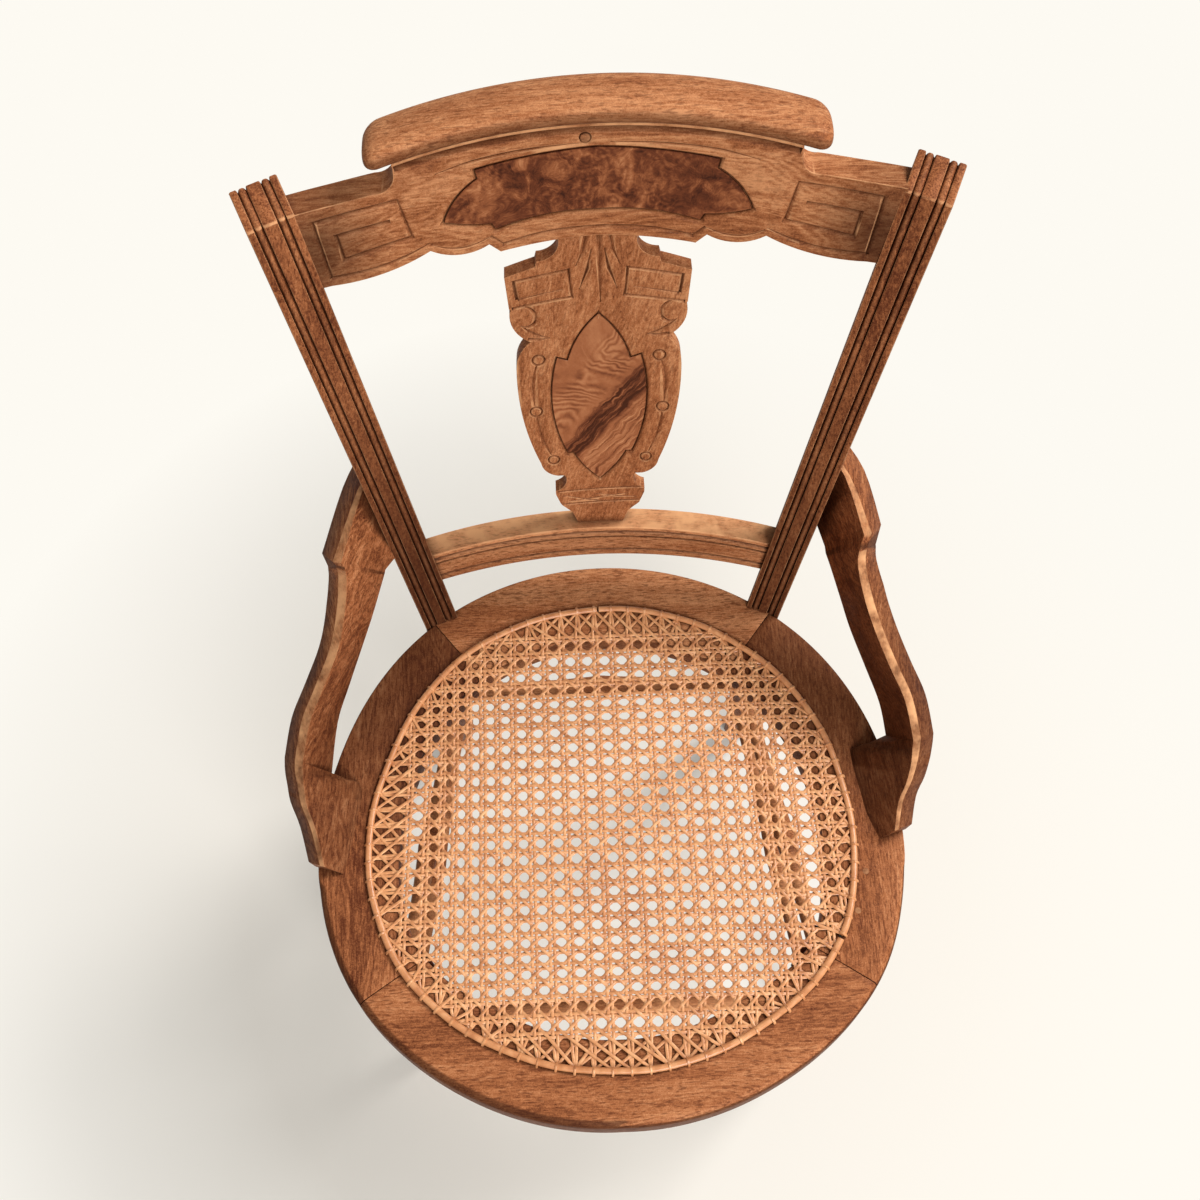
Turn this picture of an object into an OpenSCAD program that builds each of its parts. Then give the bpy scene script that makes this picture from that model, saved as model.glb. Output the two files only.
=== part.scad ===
// Victorian walnut armchair with a round cane seat, a bowed and carved back and hip rests.
// The chair stands on z = 0 and faces -y, and x = 0 is its plane of symmetry.

/* [Seat] */
// Height of the top of the seat frame above the floor
seat_h = 445; // [420:1:470]
// Outer radius of the round seat frame
seat_r = 218.5; // [214:0.5:226]
// Thickness of the seat frame
seat_t = 26; // [22:1:32]
// Width of the wood of the seat frame
frame_w = 61.5; // [56.5:0.5:68]
// Distance of the caning holes from the outer edge of the seat frame
cane_inset = 38; // [36.5:0.5:40.5]
// Diameter of one caning hole
cane_hole_d = 4.8; // [3.5:0.1:5.5]
// Number of caning holes round the seat
cane_holes = 84; // [60:4:96]
// Half angle of the back segment of the frame, from straight back
back_joint_a = 37.6; // [35:0.2:40]
// Half angle of the front segment of the frame, from straight front
front_joint_a = 56.4; // [54:0.2:57]
// Radius of the rounded upper edge on the front half of the frame
edge_round = 7; // [3:0.5:9]
// Diameter of the dowels in the joints of the frame
frame_dowel_d = 9.5; // [8:0.5:11]
// Length of the dowels in the joints of the frame
frame_dowel_l = 34; // [28:1:36]

/* [Cane] */
// Thickness of the woven cane
cane_t = 1.8; // [1.2:0.1:2.4]
// Spacing of the openings in the woven cane
cane_pitch = 19.5; // [19:0.5:24]
// Width of one eight-sided opening in the woven cane
cane_gap = 11; // [8:0.5:13]
// Width of the binder cane that covers the holes
binder_w = 7; // [6:0.5:8]
// Height of the binder cane
binder_t = 2.4; // [1.6:0.1:3]

/* [Back] */
// Rake of the back, in degrees from upright
rake = 13.4; // [9:0.1:16]
// Inner radius of the bow of the back
bow_r = 615; // [560:5:700]
// How far the front of the back stands behind the feet of the posts, at seat level
back_set = 20.2; // [15.6:0.2:25.6]
// Thickness of the crest rail
crest_t = 21.5; // [18:0.5:24]
// Height of the crest rail at its middle
crest_h = 85; // [80:1:91]
// Radius of the arch of the crest in front view
arch_r = 560; // [500:10:700]
// Height of the underside of the cap at its middle, along the rake
cap_w = 441; // [436:1:446]
// Half length of the cap along the bow
cap_half = 138.5; // [130:0.5:142]
// Depth of the cap from front to back
cap_d = 33; // [28:0.5:36]
// Height of the cap
cap_h = 16; // [12:0.5:20]
// How far the cap stands out in front of the crest rail
cap_nose = 9; // [6:0.5:11]
// Thickness of the burl veneers
veneer_t = 2; // [1.5:0.1:3]
// Depth of the veneers below the face
veneer_sink = 0.8; // [0.4:0.1:1.2]
// Width of the splat across its wings
splat_w = 121.2; // [112:0.4:130]
// Setback of the splat from the front of the back
splat_v = 7; // [5:0.5:8.5]
// Thickness of the splat
splat_t = 11; // [8:0.5:12]
// Height of the top of the lower rail at its middle, along the rake
rail_top_w = 80; // [74:1:86]
// Height of the face of the lower rail
rail_h = 29; // [24:1:34]
// Thickness of the lower rail
rail_t = 20; // [18:0.5:22]
// Rise of the lower rail at its middle
rail_rise = 10; // [4:1:14]

/* [Posts] */
// Width of a post at the seat
post_w0 = 24.6; // [22:0.2:27]
// Width of a post at its top
post_w1 = 28.8; // [26:0.2:32]
// Thickness of a post
post_t = 26; // [22:0.5:30]
// Turn of the posts towards the sitter
post_turn = 20.7; // [16:0.1:24]
// Width of a reeded channel in a post
reed_channel = 6.4; // [5.4:0.1:7]
// Diameter of one reed
reed_d = 4.8; // [4:0.1:5.2]
// Width of a rear leg at the floor
rear_foot = 22; // [18:0.5:26]

/* [Arms] */
// Thickness of an arm
arm_t = 22; // [19:0.5:24]
// Width of the worn chamfer on the inner edge of an arm
arm_chamfer = 4; // [2:0.5:5]

/* [Base] */
// Angle of the front legs in front of the widest line of the seat
leg_a = 24; // [20:0.5:24.5]
// Distance of the middle of a front leg from the outer edge of the seat frame
leg_inset = 19.5; // [17.5:0.5:21.5]
// Largest diameter of a front leg
leg_d = 36; // [30:1:40]
// Diameter of a front leg at the floor
leg_foot_d = 21; // [17:0.5:25]
// Diameter of the tenon of a front leg
tenon_d = 22; // [18:0.5:24]
// Length of the tenon of a front leg
tenon_l = 17; // [12:1:19]
// Diameter of a stretcher at its middle
stretcher_d = 19; // [15:0.5:24]
// Height of the front stretcher above the floor
front_stretcher_z = 190; // [150:5:230]
// Height of the lower side stretchers above the floor
side_stretcher_z = 130; // [110:5:150]
// Distance between the lower and upper side stretchers
side_stretcher_gap = 95; // [80:5:120]
// Height of the back stretcher above the floor
back_stretcher_z = 265; // [240:5:300]
// Diameter of the turned ends of the stretchers
stretcher_end_d = 13; // [10:0.5:15]
// Depth of the holes that take the stretchers
stretcher_seat = 12; // [8:0.5:14]

/* [Hardware] */
// Diameter of the plugs in the right segment of the frame
plug_d = 5.2; // [4:0.2:7]
// Length of the plugs in the right segment of the frame
plug_l = 8; // [5:1:8]
// Diameter of the shank of a screw
screw_d = 4.2; // [3.4:0.2:5]
// Diameter of the head of a screw
screw_head_d = 8.4; // [7:0.2:10]

/* [Hidden] */
$fn = 64;

walnut = [0.55, 0.33, 0.21];
walnut_dark = [0.43, 0.25, 0.16];
burl_colour = [0.40, 0.22, 0.14];
cane_colour = [0.85, 0.64, 0.43];
steel = [0.55, 0.53, 0.5];
fit = 0.15;                 // clearance round a pin in its hole
big = 700;                  // longer than any piece, for cutting shapes

// Radii that follow from the outer radius of the seat frame
opening_r = seat_r - frame_w;
cane_hole_ring_r = seat_r - cane_inset;
leg_ring_r = seat_r - leg_inset;

// The foot of a post: the middle of its front face, at the top of the seat frame
post_a = 36.5;              // its direction from straight back
post_inset = 4.1;           // its distance from the outer edge of the seat frame
post_foot = (seat_r - post_inset) * [sin(post_a), cos(post_a), 0];

// The seat centre lies so far from the origin that the chair's box is centred on it.
cap_back_r = 5;
cap_top_w = cap_w + cap_h;
back_y = post_foot[1] + back_set;
back_reach = back_y + (cap_top_w - cap_back_r) * sin(rake)
    + (cap_d - cap_nose - cap_back_r) * cos(rake) + cap_back_r;
seat_y = (seat_r - back_reach) / 2;

// Vector and outline helpers
function unit(v) = v / norm(v);
function mix(a, b, t) = a * (1 - t) + b * t;
function flip(p) = [-p[0], p[1]];
function mirrored(pts) = concat(pts, [for (i = [len(pts) - 1 : -1 : 0]) flip(pts[i])]);
// Points of an arc through a and b whose bulge from the chord is h, to the left of the way a to b
function bulge_arc(a, b, h, n = 8) =
    let (c = norm(b - a) / 2, r = (c * c + h * h) / (2 * abs(h)), m = (a + b) / 2,
        nrm = [a[1] - b[1], b[0] - a[0]] / (2 * c) * sign(h), o = m - nrm * (r - abs(h)),
        a0 = atan2(a[1] - o[1], a[0] - o[0]), half = asin(min(1, c / r)),
        turn = abs(h) > c ? 360 - 2 * half : 2 * half)
    [for (i = [0 : n]) o + r * [cos(a0 - sign(h) * turn * i / n), sin(a0 - sign(h) * turn * i / n)]];
// A point of the flat pattern of the back, bent to the bow
function bent(p) = [bow_r * sin(p[0] / bow_r * 180 / PI), p[1]];
function arch(s) = arch_r - sqrt(arch_r * arch_r - s * s);
// Smooth curve through a list of points, at u from 0 to len - 1
function at(pts, u) =
    let (n = len(pts) - 1, i = min(floor(u), n - 1), t = u - i, p0 = pts[max(i - 1, 0)], p1 = pts[i],
        p2 = pts[i + 1], p3 = pts[min(i + 2, n)])
    (p1 * 2 + (p2 - p0) * t + (p0 * 2 - p1 * 5 + p2 * 4 - p3) * t * t
        + (p1 * 3 - p0 - p2 * 3 + p3) * t * t * t) / 2;

// A closed solid through rings that all have the same number of points
module loft(rings) {
    n = len(rings[0]);
    m = len(rings);
    pts = [for (r = rings, p = r) p];
    sides = [for (j = [0 : m - 2], i = [0 : n - 1], k = [0, 1])
        let (a = j * n + i, b = j * n + (i + 1) % n, c = a + n, d = b + n)
        k == 0 ? [a, b, d] : [a, d, c]];
    caps = [[for (i = [n - 1 : -1 : 0]) i], [for (i = [0 : n - 1]) (m - 1) * n + i]];
    polyhedron(points = pts, faces = [for (f = concat(sides, caps)) [for (i = [len(f) - 1 : -1 : 0]) f[i]]],
        convexity = 6);
}

// The frame of the back: x across, y out of the back and z up the rake
module back_frame() {
    translate([0, seat_y + back_y, seat_h]) rotate([-rake, 0, 0]) children();
}

// The part of a bowed board between two depths behind the face of the back
module bow_slab(v0, v1) {
    translate([0, -bow_r, -100]) difference() {
        cylinder(r = bow_r + v1, h = big, $fn = 200);
        translate([0, 0, -1]) cylinder(r = bow_r + v0, h = big + 2, $fn = 200);
    }
}

// A board sawn to an outline of the flat pattern and bent to the bow
module bent_board(outline, v0, v1) {
    intersection() {
        rotate([90, 0, 0]) translate([0, 0, -60]) linear_extrude(140) polygon([for (p = outline) bent(p)]);
        bow_slab(v0, v1);
    }
}

// The lean of a post
post_splay = 9.72;          // lean outwards, in front view
post_lean = rake - 1.85;    // lean backwards, in side view
post_drop = 23;             // how far its top ends below the underside of the cap
post_top = post_foot + (cap_w - post_drop) * [tan(post_splay), tan(post_lean), 1];
post_dir = unit(post_top - post_foot);
post_len = norm(post_top - post_foot) + 2;
post_tilt = acos(post_dir[2]);
post_az = atan2(post_dir[1], post_dir[0]);
post_across = [cos(post_turn), -sin(post_turn), 0];
post_e1 = [cos(post_tilt) * cos(post_az), cos(post_tilt) * sin(post_az), -sin(post_tilt)];
post_e2 = [-sin(post_az), cos(post_az), 0];
post_spin = atan2(post_across * post_e2, post_across * post_e1);
post_taper = atan((post_w1 - post_w0) / 2 / post_len);

// Local x runs outwards across the face, y into the post and z up it
module post_frame(side) {
    mirror([side < 0 ? 1 : 0, 0, 0])
        translate([post_foot[0], seat_y + post_foot[1], seat_h])
        rotate([0, post_tilt, post_az]) rotate([0, 0, post_spin]) children();
}

// All that lies outwards of the inner face of a post
module outside_of_post(side) {
    post_frame(side) translate([-post_w0 / 2, -100, 0]) rotate([0, -post_taper, 0])
        translate([0, 0, -150]) cube([big, 250, big]);
}

// All that lies inwards of the outer face of a post
module inside_of_post(side) {
    post_frame(side) translate([post_w0 / 2, -100, 0]) rotate([0, post_taper, 0])
        translate([-big, 0, -150]) cube([big, 250, big]);
}

// The squared post without its reeds, from the underside of the seat frame to the top
module post_blank(side) {
    intersection() {
        outside_of_post(side);
        inside_of_post(side);
        post_frame(side) translate([-100, 0, -100]) cube([200, post_t, post_len + 100]);
        translate([0, 0, big + seat_h - seat_t - 1]) cube(2 * big, center = true);
    }
}

// The rear leg: a square sabre leg that grows out of the post and sweeps back to the floor
leg_floor = [post_foot[0] + 19.5, post_foot[1] + 76.6];
post_mid = post_foot + [sin(post_turn), cos(post_turn), 0] * post_t * 0.515;
function post_mid_at(z) = post_mid + post_dir * z / post_dir[2];
function rear_leg_at(z) =
    let (t = (-seat_t - z) / (seat_h - seat_t), p = post_mid_at(-seat_t))
    t < 0 ? post_mid_at(z) : [mix(p[0], leg_floor[0], pow(t, 1.8)), mix(p[1], leg_floor[1], t * t), z];
module rear_leg(side) {
    mirror([side < 0 ? 1 : 0, 0, 0]) translate([0, seat_y, seat_h])
        loft([for (i = [-1 : 12])
            let (z = i < 0 ? -seat_t + 8 : -seat_t - (seat_h - seat_t) * i / 12, t = max(0, i / 12),
                c = rear_leg_at(z), w = mix(post_w0, rear_foot, t) / 2 - 0.4, d = mix(post_t, rear_foot, t) / 2 - 0.4)
            [for (k = [[-1, 1], [1, 1], [1, -1], [-1, -1]])
                c + [cos(post_turn) * w * k[0] + sin(post_turn) * d * k[1],
                    cos(post_turn) * d * k[1] - sin(post_turn) * w * k[0], 0]]]);
}

// A screw through a post into the back segment of the seat frame
post_screw_a = 35;
post_screw_out = seat_r + 16.5;
post_screw_in = seat_r - 31.5;
module post_screw(side, grow) {
    translate([0, seat_y, seat_h - seat_t / 2]) rotate([0, 0, 90 - side * post_screw_a]) rotate([0, 90, 0]) {
        translate([0, 0, post_screw_in]) cylinder(d = screw_d + 2 * grow, h = post_screw_out - post_screw_in - 2);
        translate([0, 0, post_screw_out - 4 - grow])
            cylinder(d = screw_head_d + 2 * grow, h = grow > 0 ? 40 : 4);
    }
}

// What the sloping facet at the head of a post takes away
facet_l = 23;
facet_d = 7;
module post_facet() {
    translate([-100, 0, post_len - facet_l]) rotate([-atan(facet_d / facet_l), 0, 0])
        translate([0, -60, 0]) cube([200, 60, 100]);
}

module back_post(side) {
    reed_x = post_w0 * 0.245;
    color(walnut_dark) union() {
        difference() {
            union() {
                difference() {
                    post_blank(side);
                    post_frame(side) for (k = [-1, 1])
                        translate([k * reed_x, 0, 0]) rotate([0, k * post_taper / 2, 0])
                        translate([-reed_channel / 2, -1, 0.5])
                        cube([reed_channel, reed_d / 2 + 1.4, post_len + 10]);
                }
                post_frame(side) for (k = [-1, 1])
                    translate([k * reed_x, reed_d / 2, 0]) rotate([0, k * post_taper / 2, 0])
                    cylinder(d = reed_d, h = post_len - 1, $fn = 32);
            }
            post_frame(side) post_facet();
            post_screw(side, fit);
        }
        rear_leg(side);
    }
}

// The seat frame

module seat_place() {
    translate([0, seat_y, seat_h]) children();
}

// Cross-section of the frame; the front half has its upper outer edge rounded over
module frame_section(rounded) {
    e = rounded ? edge_round : 1.2;
    polygon(concat([[opening_r, -seat_t], [seat_r - 2, -seat_t], [seat_r, -seat_t + 2]],
        [for (a = [0 : 10 : 90]) [seat_r - e * (1 - cos(a)), -e * 0.8 * (1 - sin(a))]],
        [[opening_r + 1, 0], [opening_r, -1]]));
}

module frame_sector(a0, a1, rounded) {
    rotate([0, 0, a0]) rotate_extrude(angle = a1 - a0, $fn = 180) frame_section(rounded);
}

// What the rounding of the upper outer edge takes away
module edge_cutter(a0, a1) {
    rotate([0, 0, a0]) rotate_extrude(angle = a1 - a0, $fn = 180) polygon(concat(
        [[seat_r - edge_round, 3], [seat_r + 3, 3], [seat_r + 3, -edge_round * 0.8]],
        [for (a = [0 : 10 : 90]) [seat_r - edge_round * (1 - cos(a)), -edge_round * 0.8 * (1 - sin(a))]]));
}

cane_step = 360 / cane_holes;
module caning_holes(a0, a1) {
    for (i = [0 : cane_holes - 1])
        let (a = (i + 0.5) * cane_step - 90)
        if (a > a0 - 2 && a < a1 + 2)
        rotate([0, 0, a]) translate([cane_hole_ring_r, 0, -seat_t - 1])
            cylinder(d = cane_hole_d, h = seat_t + 2, $fn = 24);
}

// Dowels lie across the joints, two in front and one at the back
dowel_r_out = seat_r - 21.5;
dowel_r_in = opening_r + 10;
module joint_dowels(a, radii, grow) {
    for (r = radii)
        rotate([0, 0, a]) translate([r, frame_dowel_l / 2 + grow, -seat_t / 2]) rotate([90, 0, 0])
            cylinder(d = frame_dowel_d + 2 * grow, h = frame_dowel_l + 2 * grow, $fn = 32);
}
module all_dowels(grow) {
    for (side = [-1, 1]) {
        joint_dowels(-90 + side * front_joint_a, [dowel_r_in, dowel_r_out], grow);
        joint_dowels(90 - side * back_joint_a, [dowel_r_in], grow);
    }
}

// Angles are counted from straight right; the rounding stops in front of the arms
round_stop = -9;
front_a = -90 + front_joint_a;
back_a = 90 - back_joint_a;
module seat_front_rail() {
    color(walnut) seat_place() difference() {
        frame_sector(-180 - front_a, front_a, true);
        caning_holes(-180 - front_a, front_a);
        all_dowels(fit);
    }
}
module seat_back_rail() {
    color(walnut) difference() {
        seat_place() difference() {
            frame_sector(back_a, 180 - back_a, false);
            caning_holes(back_a, 180 - back_a);
            all_dowels(fit);
        }
        for (side = [-1, 1]) {
            post_blank(side);
            post_screw(side, fit);
        }
    }
}
module side_rail_solid() {
    difference() {
        seat_place() difference() {
            frame_sector(front_a, back_a, false);
            edge_cutter(front_a - 2, round_stop);
            caning_holes(front_a, back_a);
            all_dowels(fit);
        }
        post_blank(1);
        front_leg_tenon(fit);
        arm_screw(fit);
    }
}
module seat_left_rail() {
    color(walnut) mirror([1, 0, 0]) side_rail_solid();
}
module seat_right_rail() {
    color(walnut) difference() {
        side_rail_solid();
        plugs(fit);
    }
}
module seat_dowels() {
    color(walnut_dark) seat_place() all_dowels(0);
}

// Two dark plugs beside the binder, over the right front leg
plug_ring_r = seat_r - 28.8;
module plugs(grow) {
    seat_place() for (a = [-12.2, -21.4])
        rotate([0, 0, a]) translate([plug_ring_r, 0, -plug_l - grow])
            cylinder(d = plug_d + 2 * grow, h = plug_l + grow + (grow > 0 ? 1 : 0), $fn = 24);
}
module seat_plugs() {
    color(burl_colour) plugs(0);
}

// The cane seat: a flat net with eight-sided openings, drawn over the holes of the frame
cane_r = cane_hole_ring_r + 3;
module cane_seat() {
    n = floor(cane_r / cane_pitch);
    color(cane_colour) seat_place() linear_extrude(cane_t) difference() {
        circle(r = cane_r, $fn = 60);
        for (i = [-n : n], j = [-n : n])
            let (p = [(i + 0.5) * cane_pitch, (j + 0.5) * cane_pitch])
            if (norm(p) < cane_r - 13)
            translate(p) rotate([0, 0, 22.5]) circle(d = cane_gap / cos(22.5), $fn = 8);
    }
}

// The binder: a flat-round cane laid on the edge of the net over the holes
module cane_binder() {
    r0 = cane_hole_ring_r + 0.5;
    color(cane_colour) seat_place() translate([0, 0, cane_t]) rotate_extrude($fn = 180)
        polygon([for (a = [0 : 20 : 180]) [r0 + binder_w / 2 * cos(a), binder_t * sin(a)]]);
}

// The back

// Half outlines of the flat pattern, drawn at the size of the chair. Those of the crest give the distance
// along the bow and the depth below the cap, and those of the splat give the height up the rake.
crest_end = post_foot[0] + 68.5;
crest_low_w = cap_w - crest_h;
cap_gap = 0.2;
scoop_s = 122;              // where the scoop of a shoulder comes up to the cap
function crest_at(s, d) = [s * cap_half / 138.5, cap_w - d * crest_h / 85];
crest_low_arc = bulge_arc(crest_at(60, 92.2), crest_at(0, 85), -1.1, 5);
function crest_half() = concat(
    [for (s = [0 : 15 : 120]) [crest_at(s, 0)[0], cap_w - cap_gap - arch(crest_at(s, 0)[0])]],
    [[crest_at(scoop_s, 0)[0], cap_w - cap_gap - arch(crest_at(scoop_s, 0)[0])]],
    bulge_arc(crest_at(scoop_s, 25), crest_at(135, 36.2), -4.3, 6),
    [[crest_end, crest_at(0, 40)[1]], [crest_end, crest_at(0, 98)[1]]],
    bulge_arc(crest_at(168, 97.4), crest_at(104.7, 85), 5, 6),
    bulge_arc(crest_at(104, 85.4), crest_at(68, 86), 5.4, 8),
    [crest_at(61.1, 92.5)],
    crest_low_arc);
function crest_outline() = mirrored(crest_half());

// Half outline of the burl veneer in the crest, smaller by g
function crest_panel_half(g) = concat(
    bulge_arc(crest_at(0, 20.7 + g), crest_at(74 - g, 30.1 + g), 1.4, 6),
    bulge_arc(crest_at(72.6 - g, 36.8), crest_at(95 - g, 65.3), 3.2, 6),
    bulge_arc(crest_at(94.4 - g, 65.8 - g * 0.5), crest_at(65.8 - g, 70.7 - g), 1.2, 3),
    bulge_arc(crest_at(63.5 - g, 75.4 - g), crest_at(0, 65.8 - g), -3.2, 5));
function crest_panel_outline(g) = mirrored(crest_panel_half(g));

peg_at = crest_at(-7, 13.4);
peg_d = 7.5;
module peg_hole(grow) {
    back_frame() translate([bent(peg_at)[0], crest_t - 2, peg_at[1]]) rotate([90, 0, 0])
        cylinder(d = peg_d + 2 * grow, h = crest_t, $fn = 32);
}

module crest_rail() {
    color(walnut) difference() {
        back_frame() difference() {
            bent_board(crest_outline(), 0, crest_t);
            bent_board(crest_panel_outline(0), -1, veneer_sink + veneer_t);
        }
        outside_of_post(1);
        outside_of_post(-1);
        peg_hole(fit);
    }
}
module crest_panel() {
    color(burl_colour) back_frame()
        bent_board(crest_panel_outline(fit), veneer_sink, veneer_sink + veneer_t);
}
module crest_peg() {
    color(walnut_dark) peg_hole(0);
}

// The cap: a roll moulding that follows both the bow and the arch of the crest
module crest_cap() {
    d0 = cap_nose;
    d1 = cap_d - cap_nose;
    section = concat([[-d0 + 4, -cap_h], [-d0 + 1, -cap_h + 2], [-d0, -cap_h * 0.62], [-d0 + 1, -cap_h * 0.34],
        [-d0 + 4, -cap_h * 0.17], [0, -cap_h * 0.08], [cap_d * 0.3, 0], [d1 - cap_back_r, 0]],
        [for (a = [60, 30, 0]) [d1 - cap_back_r * (1 - cos(a)), -cap_back_r * (1 - sin(a))]],
        [[d1, -cap_h + 1], [d1 - 1, -cap_h]]);
    n = 28;
    color(walnut) back_frame() loft([for (i = [-n : n])
        let (u = sin(90 * i / n), s = cap_half * u,
            e = abs(s) > cap_half - 12 ? (abs(s) - cap_half + 12) / 12 : 0,
            k = 0.35 + 0.65 * sqrt(max(0, 1 - e * e)), a = s / bow_r * 180 / PI)
        [for (q = section) let (v = (q[0] - 8) * k + 8, w = (q[1] + cap_h / 2) * k - cap_h / 2, r = bow_r + v)
            [r * sin(a), r * cos(a) - bow_r, cap_top_w + w - arch(s)]]]);
}

// The splat: wings above, an oval body with a pointed burl veneer, and a tab below
function splat_at(s, w) = [s * splat_w / 121.2, rail_top_w + (w - 80) * (crest_low_w - rail_top_w) / 276];
function splat_half() = concat(
    [splat_at(0, 358), splat_at(25, 358)],
    bulge_arc(splat_at(25.2, 344), splat_at(39.6, 332.6), -3.4, 5),
    [splat_at(40.7, 328.2), splat_at(60.6, 321.8), splat_at(58.8, 295.2), splat_at(57.6, 294)],
    bulge_arc(splat_at(58.6, 292), splat_at(46.5, 265.6), 4.2, 6),
    bulge_arc(splat_at(45.9, 265.3), splat_at(56.2, 243), 2.6, 4),
    bulge_arc(splat_at(56.4, 241), splat_at(42.7, 146.8), 4.2, 8),
    bulge_arc(splat_at(42.6, 146), splat_at(31, 133), 2.6, 4),
    [splat_at(25.9, 132.8)],
    bulge_arc(splat_at(25.4, 131.6), splat_at(33, 116.6), -3.6, 5),
    [splat_at(32.9, 112.5), splat_at(29.3, 101.2), splat_at(23.8, 95.3), splat_at(20.8, 92)],
    [splat_at(19.6, 88), splat_at(16.8, 80), splat_at(0, 80)]);
function splat_panel_half(g) = concat(
    [splat_at(0, 286 - g * 2)],
    bulge_arc(splat_at(0.6, 285 - g * 2), splat_at(21.3 - g, 245.5), 3.1, 5),
    bulge_arc(splat_at(28.7 - g, 248.5 - g), splat_at(23.1 - g, 155.6 + g), 7, 8),
    bulge_arc(splat_at(18.9 - g, 155.7 + g), splat_at(0.6, 128 + g * 2), 1.6, 5));

module splat() {
    color(walnut) back_frame() difference() {
        intersection() {
            bent_board(mirrored(splat_half()), splat_v, splat_v + splat_t);
            splat_ends();
        }
        bent_board(mirrored(splat_panel_half(0)), splat_v - 1, splat_v + veneer_sink + veneer_t);
    }
}
module splat_panel() {
    color(burl_colour) back_frame()
        bent_board(mirrored(splat_panel_half(fit)), splat_v + veneer_sink, splat_v + veneer_sink + veneer_t);
}
// The splat ends on the lower edge of the crest and on the top of the lower rail
module splat_ends() {
    rotate([90, 0, 0]) translate([0, 0, -60]) linear_extrude(120)
        polygon([for (p = mirrored(concat([for (i = [5 : -1 : 0]) crest_low_arc[i]],
            [[splat_w, crest_low_w - 8], [splat_w, rail_top_w - 6]],
            [for (s = [30, 20, 10, 0]) [s, rail_top_w - rail_arch(s)]]))) bent(p)]);
}

rail_span = post_foot[0] - 2.5;     // where the lower rail has come down by its rise
rail_end = post_foot[0] + 22.5;     // beyond the inner faces of the posts
rail_arch_r = (rail_span * rail_span + rail_rise * rail_rise) / (2 * rail_rise);
function rail_arch(s) = rail_arch_r - sqrt(rail_arch_r * rail_arch_r - s * s);
function rail_band(w0, w1) = concat(
    [for (i = [-15 : 15]) let (s = rail_end * i / 15) [s, rail_top_w + w1 - rail_arch(s)]],
    [for (i = [15 : -1 : -15]) let (s = rail_end * i / 15) [s, rail_top_w + w0 - rail_arch(s)]]);
module lower_back_rail() {
    color(walnut) difference() {
        back_frame() difference() {
            bent_board(rail_band(-rail_h, 0), 0, rail_t);
            bent_board(rail_band(-rail_h * 0.22, -rail_h * 0.14), -1, 2);
            bent_board(rail_band(-rail_h * 0.33, -rail_h * 0.28), -1, 1.4);
            bent_board(rail_band(-rail_h * 0.86, -rail_h * 0.79), -1, 1.4);
        }
        outside_of_post(1);
        outside_of_post(-1);
    }
}

// The arms: from the post, over the elbow, down and out to a foot on the seat frame.
// Each station gives the inner upper edge and the inner lower edge of the arm.
arm_head = [[[157, 238, 158], [141, 208, 92]], [[174.5, 208, 151], [156.5, 188, 89]],
    [[187, 167, 140], [160, 178, 90]]];
arm_body = [[[186.6, 165.5, 136.5], [160.4, 177, 90]], [[185.4, 154.3, 122], [166.4, 168.5, 87]],
    [[189, 132.4, 108], [172.5, 149.2, 70]], [[196.8, 111.5, 93], [182, 131, 55]],
    [[208.6, 88.8, 78], [194.5, 105.6, 40]], [[219, 67.7, 64], [204.5, 81.8, 26]],
    [[224.4, 41.9, 48], [208.7, 58, 9]]];
arm_foot = [[[223.8, 32, 43], [185.6, 46, 3]], [[222.4, 20.5, 36], [186, 31, -3]],
    [[215.1, 3, 26], [188.6, 10, -3]], [[210.2, -18, 14], [195, -17, -3]]];
arm_out = unit([15, 9, -12]) * arm_t;
// In plan the arms are drawn for a seat frame of this outer radius, and they follow the real one.
arm_seat_r = 218.5;
function arm_at(p) = [p[0] * seat_r / arm_seat_r, p[1] * seat_r / arm_seat_r, p[2]];
function arm_ring(c, i, foot) =
    let (c = arm_at(c), i = arm_at(i), o = c + arm_out, u = unit(i - c), t = unit(arm_out),
        d = foot ? [seat_r - 5, i[1] + 4, -5] : i + arm_out)
    [c + t * arm_chamfer, c + u * arm_chamfer, i - u * 2, i + t * 2, d - t * 3, d - u * 3,
        o + u * 3, o - t * 3];
module arm_solid() {
    body = [for (i = [0 : 3 * (len(arm_body) - 1)]) i / 3];
    foot = [for (i = [0 : 2 * (len(arm_foot) - 1)]) i / 2];
    heads = [for (p = arm_head) arm_ring(p[0], p[1], false)];
    bodies = [for (u = body) arm_ring(at([for (p = arm_body) p[0]], u), at([for (p = arm_body) p[1]], u), false)];
    feet = [for (u = foot) arm_ring(at([for (p = arm_foot) p[0]], u), at([for (p = arm_foot) p[1]], u), true)];
    difference() {
        seat_place() loft(concat(heads, bodies, feet));
        inside_of_post(1);
        translate([0, 0, seat_h - 50]) cube([2 * big, 2 * big, 100], center = true);
        arm_screw(fit);
    }
}
module arm_right() {
    color(walnut) arm_solid();
}
module arm_left() {
    color(walnut) mirror([1, 0, 0]) arm_solid();
}
arm_screw_at = arm_at([204, 22, 0]);
module arm_screw(grow) {
    seat_place() translate([arm_screw_at[0], arm_screw_at[1], -seat_t]) {
        translate([0, 0, 1]) cylinder(d = screw_d + 2 * grow, h = seat_t + 8 + grow, $fn = 24);
        translate([0, 0, grow > 0 ? -1 : 0.4]) cylinder(d = screw_head_d + 2 * grow, h = grow > 0 ? 4.2 : 2.8, $fn = 24);
    }
}
module arm_screws() {
    color(steel) {
        arm_screw(0);
        mirror([1, 0, 0]) arm_screw(0);
    }
}
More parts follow.
